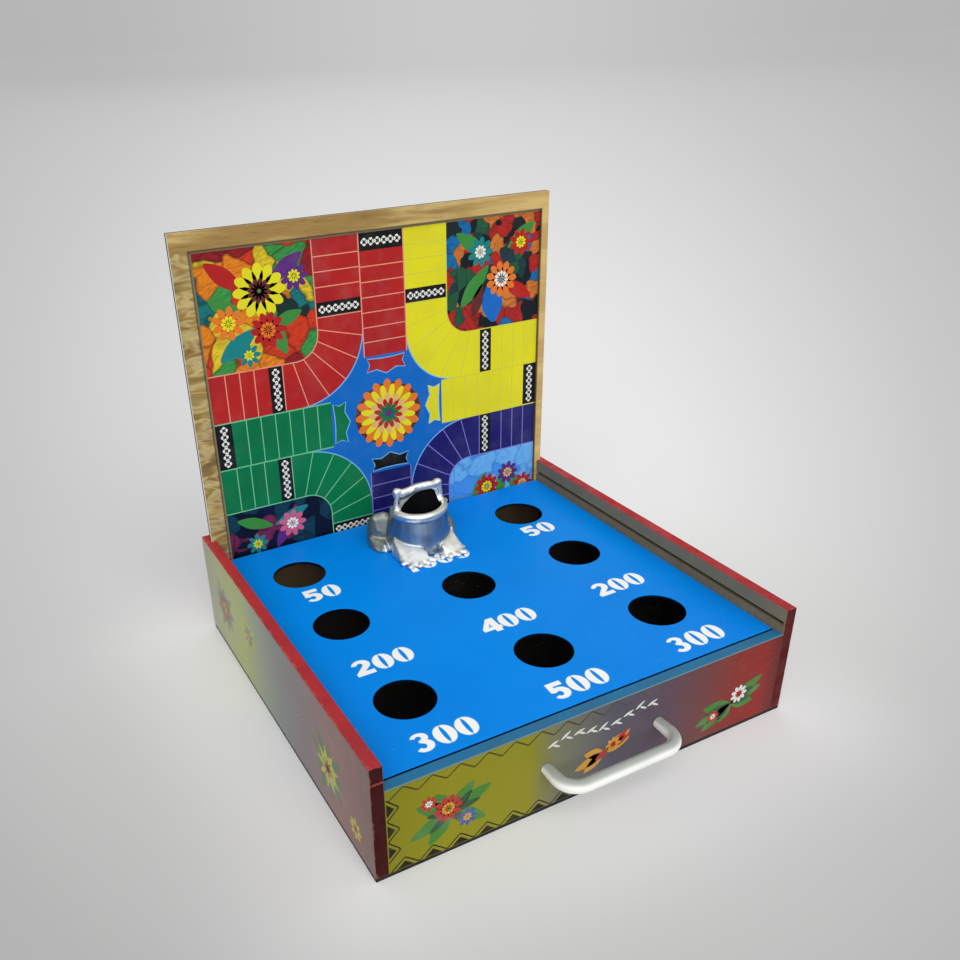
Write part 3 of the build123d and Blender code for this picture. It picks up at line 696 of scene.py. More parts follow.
def round_loop(points, steps=5):
    """A smooth closed outline through a few points."""
    out = []
    count = len(points)
    for i in range(count):
        a, b, c, d = [Vector(points[(i + k) % count]) for k in (-1, 0, 1, 2)]
        for s in range(steps):
            t = s / steps
            p = b * 2 + (c - a) * t + (a * 2 - b * 5 + c * 4 - d) * t**2 + (b * 3 - a - c * 3 + d) * t**3
            out.append(tuple(p / 2))
    return out


def leaf(x, y, length, width, turn, tip=0.0):
    """A pointed leaf or petal outline that starts at x, y and leans by turn degrees."""
    half = [(0.0, 0.0), (0.2, 0.34), (0.45, 0.5), (0.75, 0.34), (1.0, tip)]
    outline = half + [(a, -b) for a, b in reversed(half[1:-1])]
    c, s = math.cos(math.radians(turn)), math.sin(math.radians(turn))
    smooth = round_loop([(a * length, b * width) for a, b in outline], 4)
    return [(x + a * c - b * s, y + a * s + b * c) for a, b in smooth]


def swell(outline, distance):
    """The outline grown outwards by a distance."""
    area = sum(a[0] * b[1] - b[0] * a[1] for a, b in zip(outline, outline[1:] + outline[:1]))
    side = 1 if area > 0 else -1
    out = []
    for i, point in enumerate(outline):
        before = Vector(outline[i - 1])
        after = Vector(outline[(i + 1) % len(outline)])
        run = after - before
        if run.length < 1e-9:
            out.append(point)
            continue
        run.normalize()
        out.append((point[0] + run.y * distance * side, point[1] - run.x * distance * side))
    return out


def spun(points, turn):
    """Points of a face turned round its middle, in degrees."""
    c, s = math.cos(math.radians(turn)), math.sin(math.radians(turn))
    return [(a * c - b * s, a * s + b * c) for a, b in points]


def slab(left, foot, right, top):
    return [(left, foot), (right, foot), (right, top), (left, top)]


def on_lid(u, v, w):
    return Vector((LID_MIDDLE[0] + u, LID_MIDDLE[1] - w, LID_MIDDLE[2] + v)) * MM


def on_deck(u, v, w):
    return Vector((u, v, DECK_TOP + w)) * MM


def on_front(u, v, w):
    return Vector((u, -HALF_DEPTH - w, v)) * MM


def on_left(u, v, w):
    return Vector((-HALF_WIDTH - w, -u, v)) * MM


def on_right(u, v, w):
    return Vector((HALF_WIDTH + w, u, v)) * MM


# Of each face: its points, how flat pieces turn onto it, its body and its usual slot
FACES = {
    "lid": (on_lid, (math.pi / 2, 0.0, 0.0), "lid", "field_print"),
    "front": (on_front, (math.pi / 2, 0.0, 0.0), "box", "printed_film"),
    "deck": (on_deck, (0.0, 0.0, 0.0), "deck", None),
    "left": (on_left, (math.pi / 2, 0.0, -math.pi / 2), "box", "printed_film"),
    "right": (on_right, (math.pi / 2, 0.0, math.pi / 2), "box", "printed_film"),
}


def stand(name, work, finishes=()):
    """Turns worked geometry into an object of the scene."""
    mesh = bpy.data.meshes.new(name)
    work.to_mesh(mesh)
    work.free()
    for finish in finishes:
        mesh.materials.append(finish)
    piece = bpy.data.objects.new(name, mesh)
    scene.collection.objects.link(piece)
    return piece


def stand_on(face, name, work, inks):
    """Adds a piece that rides on the body of its face."""
    piece = stand(name, work, inks)
    _, _, body, usual = FACES[face]
    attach(piece, body)
    return piece


def print_shapes(name, face, shapes):
    """One flat piece of many inks. A shape is (outlines, height, ink), and its first outline is the rim."""
    place = FACES[face][0]
    work = bmesh.new()
    inks = []
    for outlines, height, ink in shapes:
        if ink not in inks:
            inks.append(ink)
        number = inks.index(ink)
        loops = [[Vector((a, b, 0.0)) for a, b in loop] for loop in outlines]
        flat = [p for loop in loops for p in loop]
        top, foot = ([work.verts.new(place(p.x, p.y, level)) for p in flat] for level in (height, 0.0))
        made = []
        for a, b, c in tessellate_polygon(loops):
            if len({a, b, c}) == 3:
                made.append(work.faces.new((top[a], top[b], top[c])))
                made.append(work.faces.new((foot[c], foot[b], foot[a])))
        start = 0
        for loop in loops:
            count = len(loop)
            for i in range(count):
                a, b = start + i, start + (i + 1) % count
                made.append(work.faces.new((top[a], top[b], foot[b], foot[a])))
            start += count
        for side in made:
            side.material_index = number
    bmesh.ops.recalc_face_normals(work, faces=work.faces)
    return stand_on(face, name, work, inks)


# Repeated pieces


def repeat_tree(name, count, sizes):
    """A Geometry Nodes tree with a named count, named sizes, a place and a finish."""
    inputs = {count: "Int", **{size: "Float" for size in sizes}}
    inputs.update({"Origin": "Vector", "Turn": "Vector", "Finish": "Material"})
    return new_tree(name, "GeometryNodeTree", inputs, {"Geometry": "Geometry"})


def close_tree(bench, given, geometry):
    """The last steps of a repeat tree: real copies, their place and their finish."""
    real = bench.add("GeometryNodeRealizeInstances", {0: geometry}).outputs[0]
    sockets = {"Geometry": real, "Translation": given.origin, "Rotation": given.turn}
    placed = bench.add("GeometryNodeTransform", sockets).outputs[0]
    finished = bench.add("GeometryNodeSetMaterial", {"Geometry": placed, "Material": given.finish})
    return bench.give(Geometry=finished.outputs[0])


def make_ruled_lines():
    """Even rows of thin straight lines, such as the edges of the board's cells."""
    bench, given = repeat_tree("ruled_lines", "Lines", ("Pitch", "Length", "Width", "Thickness"))
    row = bench.row(given.lines, bench.join(0.0, given.pitch, 0.0))
    bar = bench.cube(given.length, given.width, given.thickness)
    return close_tree(bench, given, bench.copies(row, bar))


def make_fan_lines():
    """Lines that share out a rounded corner: from equal steps of an inner path to those of an outer one."""
    sizes = ("Inner", "Outer", "Straight", "Width", "Thickness")
    bench, given = repeat_tree("fan_lines", "Cells", sizes)
    row = bench.row(bench.plus(given.cells, 1.0))
    share = bench.sum("DIVIDE", bench.index(), given.cells)

    def on_path(radius):
        arc = bench.times(radius, math.pi / 2)
        whole = bench.plus(arc, bench.times(given.straight, 2.0))
        along = bench.times(whole, share)
        first = bench.least(along, given.straight)
        bent = bench.minus(along, given.straight)
        angle = bench.most(bench.least(bench.sum("DIVIDE", bent, radius), math.pi / 2), 0.0)
        rest = bench.most(bench.minus(bent, arc), 0.0)
        x = bench.minus(rest, bench.times(radius, bench.sum("COSINE", angle)))
        y = bench.minus(given.straight, first)
        y = bench.minus(y, bench.times(radius, bench.sum("SINE", angle)))
        return bench.join(x, y, 0.0)

    inner, outer = on_path(given.inner), on_path(given.outer)
    middle = bench.vector("MULTIPLY", bench.vector("ADD", inner, outer), (0.5, 0.5, 0.5))
    run = bench.vector("SUBTRACT", outer, inner)
    x, y, _ = bench.split(run)
    turn = bench.join(0.0, 0.0, bench.sum("ARCTAN2", y, x))
    spots = bench.add("GeometryNodeSetPosition", {"Geometry": row, "Position": middle}).outputs[0]
    bar = bench.cube(1.0, given.width, given.thickness)
    bars = bench.copies(spots, bar, Rotation=turn, Scale=bench.join(bench.length(run), 1.0, 1.0))
    return close_tree(bench, given, bars)


TRIANGLE_WIDTH = 1.732
TRIANGLE_HEIGHT = 1.5


def make_zigzag():
    """A zigzag line with a filled tooth under each peak."""
    sizes = ("Pitch", "Rise", "Width", "Thickness", "Fill width", "Fill height")
    bench, given = repeat_tree("zigzag_border", "Teeth", sizes)
    half = bench.times(given.pitch, 0.5)
    count = bench.plus(bench.times(given.teeth, 2.0), 1.0)
    row = bench.row(count, bench.join(half))
    odd = bench.sum("MODULO", bench.index(), 2.0)
    lift = bench.join(0.0, bench.times(odd, given.rise), 0.0)
    bent = bench.add("GeometryNodeSetPosition", {"Geometry": row, "Offset": lift}).outputs[0]
    path = bench.add("GeometryNodeMeshToCurve", {0: bent}).outputs[0]
    bend = {"Curve": path, "Radius": bench.times(given.width, 1.4), "Count": 2}
    soft = bench.add("GeometryNodeFilletCurve", bend, mode="POLY").outputs[0]
    level = bench.add("GeometryNodeSetCurveNormal", {"Curve": soft}, mode="Z_UP").outputs[0]
    sides = {"Width": given.width, "Height": given.thickness}
    section = bench.add("GeometryNodeCurvePrimitiveQuadrilateral", sides).outputs[0]
    drawn = {"Curve": level, "Profile Curve": section, "Fill Caps": True}
    line = bench.add("GeometryNodeCurveToMesh", drawn).outputs[0]
    peaks_at = bench.join(half, bench.times(given.fill_height, 0.36), 0.0)
    peaks = bench.row(given.teeth, bench.join(given.pitch), peaks_at)
    tooth = bench.add("GeometryNodeMeshCylinder", {"Vertices": 3, "Radius": 1.0, "Depth": 1.0}).outputs[0]
    pose = {"Geometry": tooth, "Rotation": (0.0, 0.0, math.pi / 2)}
    upright = bench.add("GeometryNodeTransform", pose).outputs[0]
    wide = bench.sum("DIVIDE", given.fill_width, TRIANGLE_WIDTH)
    high = bench.sum("DIVIDE", given.fill_height, TRIANGLE_HEIGHT)
    teeth = bench.copies(peaks, upright, Scale=bench.join(wide, high, given.thickness))
    both = bench.add("GeometryNodeJoinGeometry")
    bench.feed(both.inputs[0], line)
    bench.feed(both.inputs[0], teeth)
    return close_tree(bench, given, both.outputs[0])


def make_petal_ring():
    """Flat petals set round a centre, for the board's rosette and the blooms of the prints."""
    bench, given = repeat_tree("petal_ring", "Petals", ("Radius", "Length", "Width", "Thickness"))
    row = bench.row(given.petals)
    angle = bench.times(bench.sum("DIVIDE", bench.index(), given.petals), math.tau)
    x = bench.times(given.radius, bench.sum("COSINE", angle))
    y = bench.times(given.radius, bench.sum("SINE", angle))
    place = bench.join(x, y, 0.0)
    spots = bench.add("GeometryNodeSetPosition", {"Geometry": row, "Position": place}).outputs[0]
    disc = bench.add("GeometryNodeMeshCylinder", {"Vertices": 14, "Radius": 0.5, "Depth": 1.0}).outputs[0]
    size = bench.join(given.length, given.width, given.thickness)
    petals = bench.copies(spots, disc, Rotation=bench.join(0.0, 0.0, angle), Scale=size)
    return close_tree(bench, given, petals)


ruled_lines = make_ruled_lines()
fan_lines = make_fan_lines()
zigzag_border = make_zigzag()
petal_ring = make_petal_ring()


def grow(tree, face, centre, spin, finish, **sizes):
    """Runs a repeat tree on a face of the object and returns its plain mesh. Lengths are in mm."""
    place, lie, _, _ = FACES[face]
    holder = bpy.data.objects.new("grown", bpy.data.meshes.new("grown"))
    scene.collection.objects.link(holder)
    change = holder.modifiers.new("repeat", "NODES")
    change.node_group = tree
    turn = Euler(lie).to_matrix() @ Euler((0.0, 0.0, math.radians(spin))).to_matrix()
    values = {"Origin": place(*centre, sizes["thickness"] / 2), "Turn": turn.to_euler(), "Finish": finish}
    for key, value in sizes.items():
        values[socket_name(key)] = value if isinstance(value, int) else value * MM
    for item in tree.interface.items_tree:
        if item.in_out == "INPUT" and item.name in values:
            change[item.identifier] = values[item.name]
    look = bpy.context.evaluated_depsgraph_get()
    mesh = bpy.data.meshes.new_from_object(holder.evaluated_get(look))
    holder.modifiers.clear()
    bpy.data.objects.remove(holder)
    return mesh


def gather(name, face, meshes):
    """Joins grown meshes into one piece that rides on a body."""
    work = bmesh.new()
    inks = []
    for mesh in meshes:
        ink = mesh.materials[-1]
        if ink not in inks:
            inks.append(ink)
        for side in mesh.polygons:
            side.material_index = inks.index(ink)
        work.from_mesh(mesh)
    stand_on(face, name, work, inks)


# The board lid's print

# Measures of the printed field, from its middle, in mm
EDGE = 156.8
RIM = 158.3
COLUMN = 20.5
OUTER = 61.5
CELL = 12.3
ARM_CELL = 12.76
PLATE_END = EDGE - 5 * CELL
PLATE_DEPTH = 12.8
PLATE_GAP = 0.6
ARC_CENTRE = 83.5
ARC_INNER = 22.0
ARC_OUTER = 63.0
YELLOW_CENTRE = 70.5
YELLOW_OUTER = 50.0
CORE = 54.7
PIPS = 6
PIP_PITCH = 6.0
PIPS_FROM_EDGE = 5.8
PIPS_ON_PLATE = 6.2
LINE = {"width": 0.9, "thickness": 0.1}
# Heights of the printed layers
GROUND_LAYER = 0.03
FIELD_LAYER = 0.04
PENNANT_RIM_LAYER = 0.045
ARM_LAYER = 0.05
PENNANT_LAYER = 0.06
LEAF_LAYER = 0.06
PLATE_LAYER = 0.07
RIM_LAYER = 0.09

ink_red = make_ink("field_red", (182, 32, 28), 0.08, drift=(170, 29, 33))
ink_yellow = make_ink("field_yellow", (230, 222, 32), 0.04, drift=(220, 212, 34))
ink_green = make_ink("field_green", (0, 120, 72), 0.03, drift=(4, 110, 62))
ink_indigo = make_ink("field_indigo", (28, 24, 100), 0.06, drift=(34, 40, 104))
ink_blue = make_ink("centre_blue", (10, 104, 190), 0.05)
ink_black = make_ink("plate_black", (16, 16, 16), 0.06)
ink_white = make_ink("mark_white", (236, 234, 224), 0.05)
line_red = make_ink("red_cell_line", (232, 150, 120), 0.1)
line_yellow = make_ink("yellow_cell_line", (214, 208, 62), 0.05)
line_green = make_ink("green_cell_line", (112, 192, 140), 0.1)
line_indigo = make_ink("indigo_cell_line", (128, 116, 200), 0.1)
line_blue = make_ink("centre_line", (120, 180, 236), 0.1)

# Side, half, ink, line ink, and the middle and radius of the outer bend
QUARTERS = (
    (-1, 1, ink_red, line_red, ARC_CENTRE, ARC_OUTER),
    (1, 1, ink_yellow, line_yellow, YELLOW_CENTRE, YELLOW_OUTER),
    (1, -1, ink_indigo, line_indigo, ARC_CENTRE, ARC_OUTER),
    (-1, -1, ink_green, line_green, ARC_CENTRE, ARC_OUTER),
)
ARMS = (
    (0, ink_red, line_red), (90, ink_green, line_green), (180, ink_indigo, line_indigo),
    (270, ink_yellow, line_yellow),
)


def mirrored(points, across, up):
    return [(a * across, b * up) for a, b in points]


def picture_bend(start, end):
    return sweep(ARC_CENTRE, ARC_CENTRE, ARC_INNER, ARC_INNER, start, end, 14)


def quarter_field(centre, radius):
    """The run of outer cells round one corner picture."""
    outer = [(COLUMN, RIM)] + sweep(centre, centre, radius, radius, 180, 270) + [(RIM, COLUMN)]
    return outer + [(RIM, OUTER)] + picture_bend(270, 180) + [(OUTER, RIM)]


def corner_field():
    return [(RIM, OUTER), (RIM, RIM), (OUTER, RIM)] + picture_bend(180, 270)


def centre_field():
    """The blue middle between the four fans and the ends of the middle columns."""
    points = []
    for across, up in ((1, 1), (-1, 1), (-1, -1), (1, -1)):
        yellow = across == 1 and up == 1
        centre, radius = (YELLOW_CENTRE, YELLOW_OUTER) if yellow else (ARC_CENTRE, ARC_OUTER)
        bend = mirrored(sweep(centre, centre, radius, radius, 270, 180), across, up)
        points += bend if across * up > 0 else bend[::-1]
    return points


def pennant(turn):
    """A small ribbon with hollow sides and a point towards the middle."""
    rim = [
        (-18, 52.4), (-6, 51.4), (6, 51.4), (18, 52.4), (15.5, 47), (18.5, 41), (9.5, 42.6), (0, 38),
        (-9.5, 42.6), (-18.5, 41), (-15.5, 47),
    ]
    return spun(rim, turn)


field_shapes = [([centre_field()], GROUND_LAYER, ink_blue)]
for across, up, ink, _, centre, radius in QUARTERS:
    field_shapes.append(([mirrored(quarter_field(centre, radius), across, up)], FIELD_LAYER, ink))
for turn, ink, _ in ARMS:
    field_shapes.append(([spun(slab(-COLUMN, CORE, COLUMN, RIM), turn)], ARM_LAYER, ink))
    plates = [slab(-COLUMN, EDGE - PLATE_DEPTH, COLUMN, RIM)]
    for low, high in ((-OUTER, -COLUMN), (COLUMN, OUTER)):
        plates.append(slab(low + PLATE_GAP, PLATE_END, high - PLATE_GAP, PLATE_END + CELL))
    field_shapes += [([spun(plate, turn)], PLATE_LAYER, ink_black) for plate in plates]
for turn, ink in ((0, ink_red), (90, ink_green), (180, ink_black), (270, ink_yellow)):
    field_shapes.append(([swell(pennant(turn), 0.9)], PENNANT_RIM_LAYER, line_blue))
    field_shapes.append(([pennant(turn)], PENNANT_LAYER, ink))
print_shapes("board_fields", "lid", field_shapes)


def rule(spot, turn, line, lines, pitch, length):
    """Several thin lines, each one pitch on from the last."""
    return grow(ruled_lines, "lid", spot, turn, line, lines=lines, pitch=pitch, length=length, **LINE)


def one_line(spot, turn, line, length, width):
    return grow(
        ruled_lines, "lid", spot, turn, line, lines=1, pitch=1.0, length=length, width=width, thickness=0.11,
    )


line_meshes = []
for across, up, _, line, _, _ in QUARTERS:
    quarter_spin = {(1, 1): 0, (-1, 1): 90, (-1, -1): 180, (1, -1): 270}[(across, up)]
    middle = (across * ARC_CENTRE, up * ARC_CENTRE)
    fan = {"cells": 6, "inner": ARC_INNER, "outer": ARC_OUTER, "straight": PLATE_END - ARC_CENTRE}
    line_meshes.append(grow(fan_lines, "lid", middle, quarter_spin, line, **fan, **LINE))
    reach, last = (COLUMN + OUTER) / 2, EDGE - CELL
    turns = (0 if up < 0 else 180, 90 if across > 0 else -90)
    for spot, turn in zip(((across * reach, up * last), (across * last, up * reach)), turns):
        line_meshes.append(rule(spot, turn, line, 3, CELL, OUTER - COLUMN))
    far = (ARC_CENTRE + RIM) / 2
    for spot, turn in (((across * OUTER, up * far), 90), ((across * far, up * OUTER), 0)):
        line_meshes.append(one_line(spot, turn, line, RIM - ARC_CENTRE, 1.0))
for turn, _, line in ARMS:
    start = spun([(0, CORE + ARM_CELL)], turn)[0]
    line_meshes.append(rule(start, turn, line, 6, ARM_CELL, 2 * COLUMN))
    for side in (-COLUMN, COLUMN):
        spot = spun([(side, (CORE + RIM) / 2)], turn)[0]
        line_meshes.append(one_line(spot, turn + 90, line, RIM - CORE, 1.1))
gather("cell_lines", "lid", line_meshes)


def arc_band(centre, radius, across, up):
    """A band 1 mm wide along a quarter circle."""
    rim = sweep(centre, centre, radius + 0.5, radius + 0.5, 180, 270)
    back = sweep(centre, centre, radius - 0.5, radius - 0.5, 270, 180)
    return mirrored(rim + back, across, up)


rim_shapes = []
for across, up, _, line, centre, radius in QUARTERS:
    rim_shapes.append(([arc_band(centre, radius, across, up)], RIM_LAYER, line_blue))
    rim_shapes.append(([arc_band(ARC_CENTRE, ARC_INNER, across, up)], RIM_LAYER, line))
print_shapes("field_rims", "lid", rim_shapes)

pip = {"petals": 4, "radius": 1.5, "length": 3.6, "width": 3.3, "thickness": 0.12}
pip_meshes = []
for turn, _, _ in ARMS:
    side_row = PLATE_END + PIPS_ON_PLATE
    for x, y in ((0.0, EDGE - PIPS_FROM_EDGE), (-COLUMN * 2, side_row), (COLUMN * 2, side_row)):
        places = [(x + (i - (PIPS - 1) / 2) * PIP_PITCH, y) for i in range(PIPS)]
        pip_meshes += [grow(petal_ring, "lid", spot, turn, ink_white, **pip) for spot in spun(places, turn)]
gather("plate_marks", "lid", pip_meshes)

# Corner pictures: generic facets with leaves and blooms over them
# Side, half, name, scale, warp, spread, shift, tones, tone of the seams
CORNERS = (
    (
        -1, 1, "corner_warm_print", 55.0, 0.02, 26.0, (0.3, 0.0, 0.1),
        [
            (24, 20, 34), (60, 36, 90), (150, 30, 34), (214, 60, 28), (232, 132, 26), (226, 196, 40),
            (60, 150, 70), (20, 120, 120), (24, 50, 48),
        ],
        (22, 20, 26),
    ),
    (
        1, 1, "corner_night_print", 75.0, 0.025, 40.0, (0.9, 0.0, 0.4),
        [
            (26, 34, 40), (30, 60, 70), (36, 90, 60), (20, 28, 34), (180, 40, 36), (210, 120, 50),
            (16, 110, 170), (30, 40, 44), (150, 150, 140),
        ],
        (18, 22, 26),
    ),
    (
        -1, -1, "corner_sea_print", 65.0, 0.02, 24.0, (1.7, 0.0, 1.4),
        [(12, 16, 40), (16, 24, 60), (22, 60, 80), (14, 18, 40), (120, 40, 80), (16, 20, 48), (30, 90, 90)],
        (8, 10, 24),
    ),
    (
        1, -1, "corner_sky_print", 48.0, 0.03, 16.0, (2.3, 0.0, 2.1),
        [(40, 130, 216), (70, 150, 224), (110, 180, 232), (60, 140, 220), (150, 200, 236)], (60, 120, 190),
    ),
)
for across, up, name, *facets in CORNERS:
    ground = make_facet_print(name, *facets)
    shape = ([mirrored(corner_field(), across, up)], FIELD_LAYER, ground)
    print_shapes(name.replace("print", "picture"), "lid", [shape])

ink_orange = make_ink("bloom_orange", (228, 120, 36), 0.08)
ink_purple = make_ink("bloom_purple", (92, 40, 120), 0.08)
ink_pink = make_ink("bloom_pink", (206, 96, 128), 0.08)
ink_teal = make_ink("leaf_teal", (20, 128, 128), 0.08)
ink_leaf = make_ink("leaf_green", (58, 138, 58), 0.08)
ink_brown = make_ink("seed_brown", (96, 40, 36), 0.08)
ink_sand = make_ink("bloom_sand", (226, 178, 110), 0.08)


def blooms(name, face, rows):
    """Generic round flowers of two rings of petals: x, y, size, outer ink, inner ink, count, height."""
    meshes = []
    for x, y, size, petal, heart, count, level in rows:
        outer = {"radius": size * 0.6, "length": size * 0.8, "width": size * 0.42, "thickness": level}
        inner = {"radius": size * 0.26, "length": size * 0.4, "width": size * 0.2, "thickness": level + 0.02}
        meshes.append(grow(petal_ring, face, (x, y), 0, petal, petals=count, **outer))
        meshes.append(grow(petal_ring, face, (x, y), 20, heart, petals=count, **inner))
    gather(name, face, meshes)


corner_blooms = [
    (-108, 124, 22, ink_yellow, ink_brown, 12, 0.08),
    (-104, 92, 15, ink_red, ink_orange, 10, 0.1),
    (-136, 102, 14, ink_orange, ink_yellow, 9, 0.1),
    (-78, 132, 12, ink_purple, ink_yellow, 9, 0.1),
    (-122, 74, 10, ink_teal, ink_yellow, 8, 0.1),
    (118, 104, 16, ink_orange, ink_white, 11, 0.1),
    (96, 130, 13, ink_teal, ink_white, 9, 0.1),
    (138, 134, 12, ink_red, ink_yellow, 9, 0.1),
    (-100, -84, 13, ink_pink, ink_white, 9, 0.1),
    (-134, -96, 10, ink_teal, ink_yellow, 8, 0.1),
    (104, -98, 14, ink_red, ink_yellow, 10, 0.1),
    (128, -88, 12, ink_purple, ink_sand, 9, 0.1),
    (146, -104, 12, ink_red, ink_sand, 9, 0.1),
]
blooms("corner_blooms", "lid", corner_blooms)

corner_leaves = []
for x, y, length, width, turn, ink in (
    (-150, 150, 40, 14, -40, ink_red), (-70, 150, 38, 13, 215, ink_purple), (-146, 72, 40, 15, 35, ink_teal),
    (-90, 70, 34, 12, 110, ink_leaf), (-150, 120, 26, 10, -20, ink_leaf), (-74, 104, 30, 11, 200, ink_leaf),
    (72, 148, 40, 13, -35, ink_leaf), (76, 84, 44, 14, 50, ink_leaf), (110, 66, 38, 22, 95, ink_blue),
    (150, 84, 36, 13, 150, ink_red), (152, 150, 34, 12, 215, ink_leaf), (88, 74, 30, 11, 70, ink_brown),
    (-84, -70, 34, 10, 200, ink_teal), (-150, -70, 34, 11, -20, ink_leaf),
    (-116, -104, 30, 10, 60, ink_purple), (88, -108, 30, 11, 60, ink_leaf),
    (118, -112, 32, 12, 80, ink_leaf), (140, -112, 30, 11, 110, ink_leaf),
):
    corner_leaves.append(([leaf(x, y, length, width, turn)], LEAF_LAYER, ink))
print_shapes("corner_leaves", "lid", corner_leaves)

rosette = []
for spin, ink, petals, radius, length, width, level in (
    (0, ink_brown, 1, 0.0, 66.0, 58.0, 0.06),
    (0, ink_orange, 16, 24.0, 17.0, 8.5, 0.075),
    (11, ink_yellow, 16, 20.0, 15.0, 6.0, 0.09),
    (0, ink_sand, 12, 13.0, 13.0, 6.4, 0.1),
    (15, ink_red, 12, 10.0, 9.0, 4.4, 0.11),
    (0, ink_green, 8, 6.0, 8.0, 4.4, 0.12),
    (0, ink_purple, 1, 0.0, 7.0, 7.0, 0.13),
):
    ring = {"petals": petals, "radius": radius, "length": length, "width": width, "thickness": level}
    rosette.append(grow(petal_ring, "lid", (0, 0), spin, ink, **ring))
gather("centre_rosette", "lid", rosette)


# Score numerals


def zero():
    right = sweep(1.6, 0, 39, 50, 89, -89, 26) + sweep(1.6, 0, 8.0, 43, -86, 86, 16)
    return [right, [(-a, b) for a, b in right]]


def three():
    rim = sweep(-3, 24, 33, 26, 158, -48, 22) + sweep(-3, -19, 37, 31, 44, -152, 24)
    back = sweep(-6, -19, 13, 14, -160, 62, 16) + [(-12, 3), (-12, 9)] + sweep(-6, 25, 12, 11, -60, 160, 14)
    return [rim + back]


def five():
    flag = [(-31, 50), (33, 50), (33, 28), (-9, 28), (-10, 17)]
    rim = sweep(0, -16, 38, 34, 100, -150, 28)
    back = sweep(-4, -18, 13, 15, -150, 110, 20) + [(-16, -8), (-34, -4)]
    return [flag + rim + back]


def two():
    rim = sweep(0, 18, 37, 32, 170, -38, 26)
    foot = [(0, -27), (38, -27), (38, -50), (-38, -50), (-38, -34)]
    back = [(4, 8)] + sweep(-4, 18, 13, 13, 0, 165, 12)
    return [rim + foot + back]


def four():
    rim = [
        (6, 50), (36, 50), (36, -12), (45, -12), (45, -32), (36, -32), (36, -50), (6, -50), (6, -32),
        (-42, -32), (-42, -14),
    ]
    return [rim, [(6, 18), (6, -12), (-13, -12)]]


def one():
    return [[(0, 50), (22, 50), (22, -50), (-8, -50), (-8, 22), (-24, 16), (-24, 34)]]


DIGITS = {"0": zero, "1": one, "2": two, "3": three, "4": four, "5": five}
NUMERAL_HEIGHT = 18.6
NUMERAL_STEP = 16.4
OVERSPRAY_RIM = 0.45
OVERSPRAY_LAYER = 0.012
STENCIL_LAYER = 0.03
stencil_white = make_ink("stencil_white", (255, 255, 255), 0.0, 0.45, 0.6)
overspray = make_ink("stencil_overspray", (110, 190, 246), 0.05, 0.4, 0.5)


def numeral(text, x, y):
    """A stencilled numeral: each stroke over a faint rim of overspray."""
    shapes = []
    size = NUMERAL_HEIGHT / 100
    for i, digit in enumerate(text):
        shift = x + (i - (len(text) - 1) / 2) * NUMERAL_STEP
        parts = DIGITS[digit]()
        groups = [parts] if digit == "4" else [[part] for part in parts]
        for outlines in groups:
            placed = [[(shift + a * size, y + b * size) for a, b in loop] for loop in outlines]
            shapes.append(([swell(placed[0], OVERSPRAY_RIM)], OVERSPRAY_LAYER, overspray))
            shapes.append((placed, STENCIL_LAYER, stencil_white))
    return shapes


numeral_shapes = []
for text, x, y in (
    ("50", -108.9, 61.8), ("1000", -2.4, 62.0), ("50", 106.0, 64.0),
    ("200", -107.3, -48.8), ("400", 0.4, -49.3), ("200", 107.0, -49.9),
    ("300", -107.9, -141.8), ("500", -1.0, -141.2), ("300", 107.4, -140.7),
):
    numeral_shapes += numeral(text, x, y)
print_shapes("score_numerals", "deck", numeral_shapes)


# Printed films

front_film = make_film("front_film_print", 0, FRONT_RUN, 0.0)
side_film = make_film("side_film_print", 1, LEFT_RUN, 0.2)
film_black = make_film_ink("zigzag_black", 0, FRONT_RUN, (20, 18, 12), 0.0, 90.0)
film_brown = make_film_ink("zigzag_brown", 0, FRONT_RUN, (62, 56, 14), -30.0, 60.0)

FILM_THICKNESS = 0.2
PLUG_DEPTH = 1.6
PLUG_HALF = 1.65
PLUG_PLAY = 0.05


def film_sheet(name, node, face, across, finish, holes=()):
    """The film itself: a thin sheet cut to its panel."""
    low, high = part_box(node)
    left, right = sorted((across(low), across(high)))
    cuts = [sweep(x, z, radius, radius, 0, 350, 35) for x, z, radius in holes]
    shape = ([slab(left, low.z / MM, right, high.z / MM)] + cuts, FILM_THICKNESS, finish)
    piece = print_shapes(name, face, [shape])
    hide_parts(node)


# The handle's two legs go through the front film
LEG_HOLES = [(-46.5, 37.5, 4.6), (49.5, 37.5, 4.6)]
film_sheet("front_film_sheet", "front_film", "front", lambda p: p.x / MM, front_film, LEG_HOLES)
film_sheet("left_film_sheet", "left_film", "left", lambda p: -p.y / MM, side_film)
film_sheet("right_film_sheet", "right_film", "right", lambda p: p.y / MM, side_film)

border = []
for spot, spin, ink, teeth, pitch, rise, level, fill_width, fill_height in (
    ((-163.5, 63.6), 0, film_brown, 16, 20.4, 7.4, 0.26, 0.02, 0.02),
    ((-164.4, 3.2), 0, film_black, 16, 20.4, 8.8, 0.26, 12.6, 5.4),
    ((-165.4, 64.6), -90, film_black, 3, 17.6, 8.8, 0.25, 11.0, 5.4),
    ((165.4, 12.0), 90, film_black, 3, 17.6, 8.8, 0.25, 11.0, 5.4),
):
    sizes = {"pitch": pitch, "rise": rise, "width": 1.0, "thickness": level}
    sizes.update({"fill_width": fill_width, "fill_height": fill_height})
    border.append(grow(zigzag_border, "front", spot, spin, ink, teeth=teeth, **sizes))
gather("front_border", "front", border)

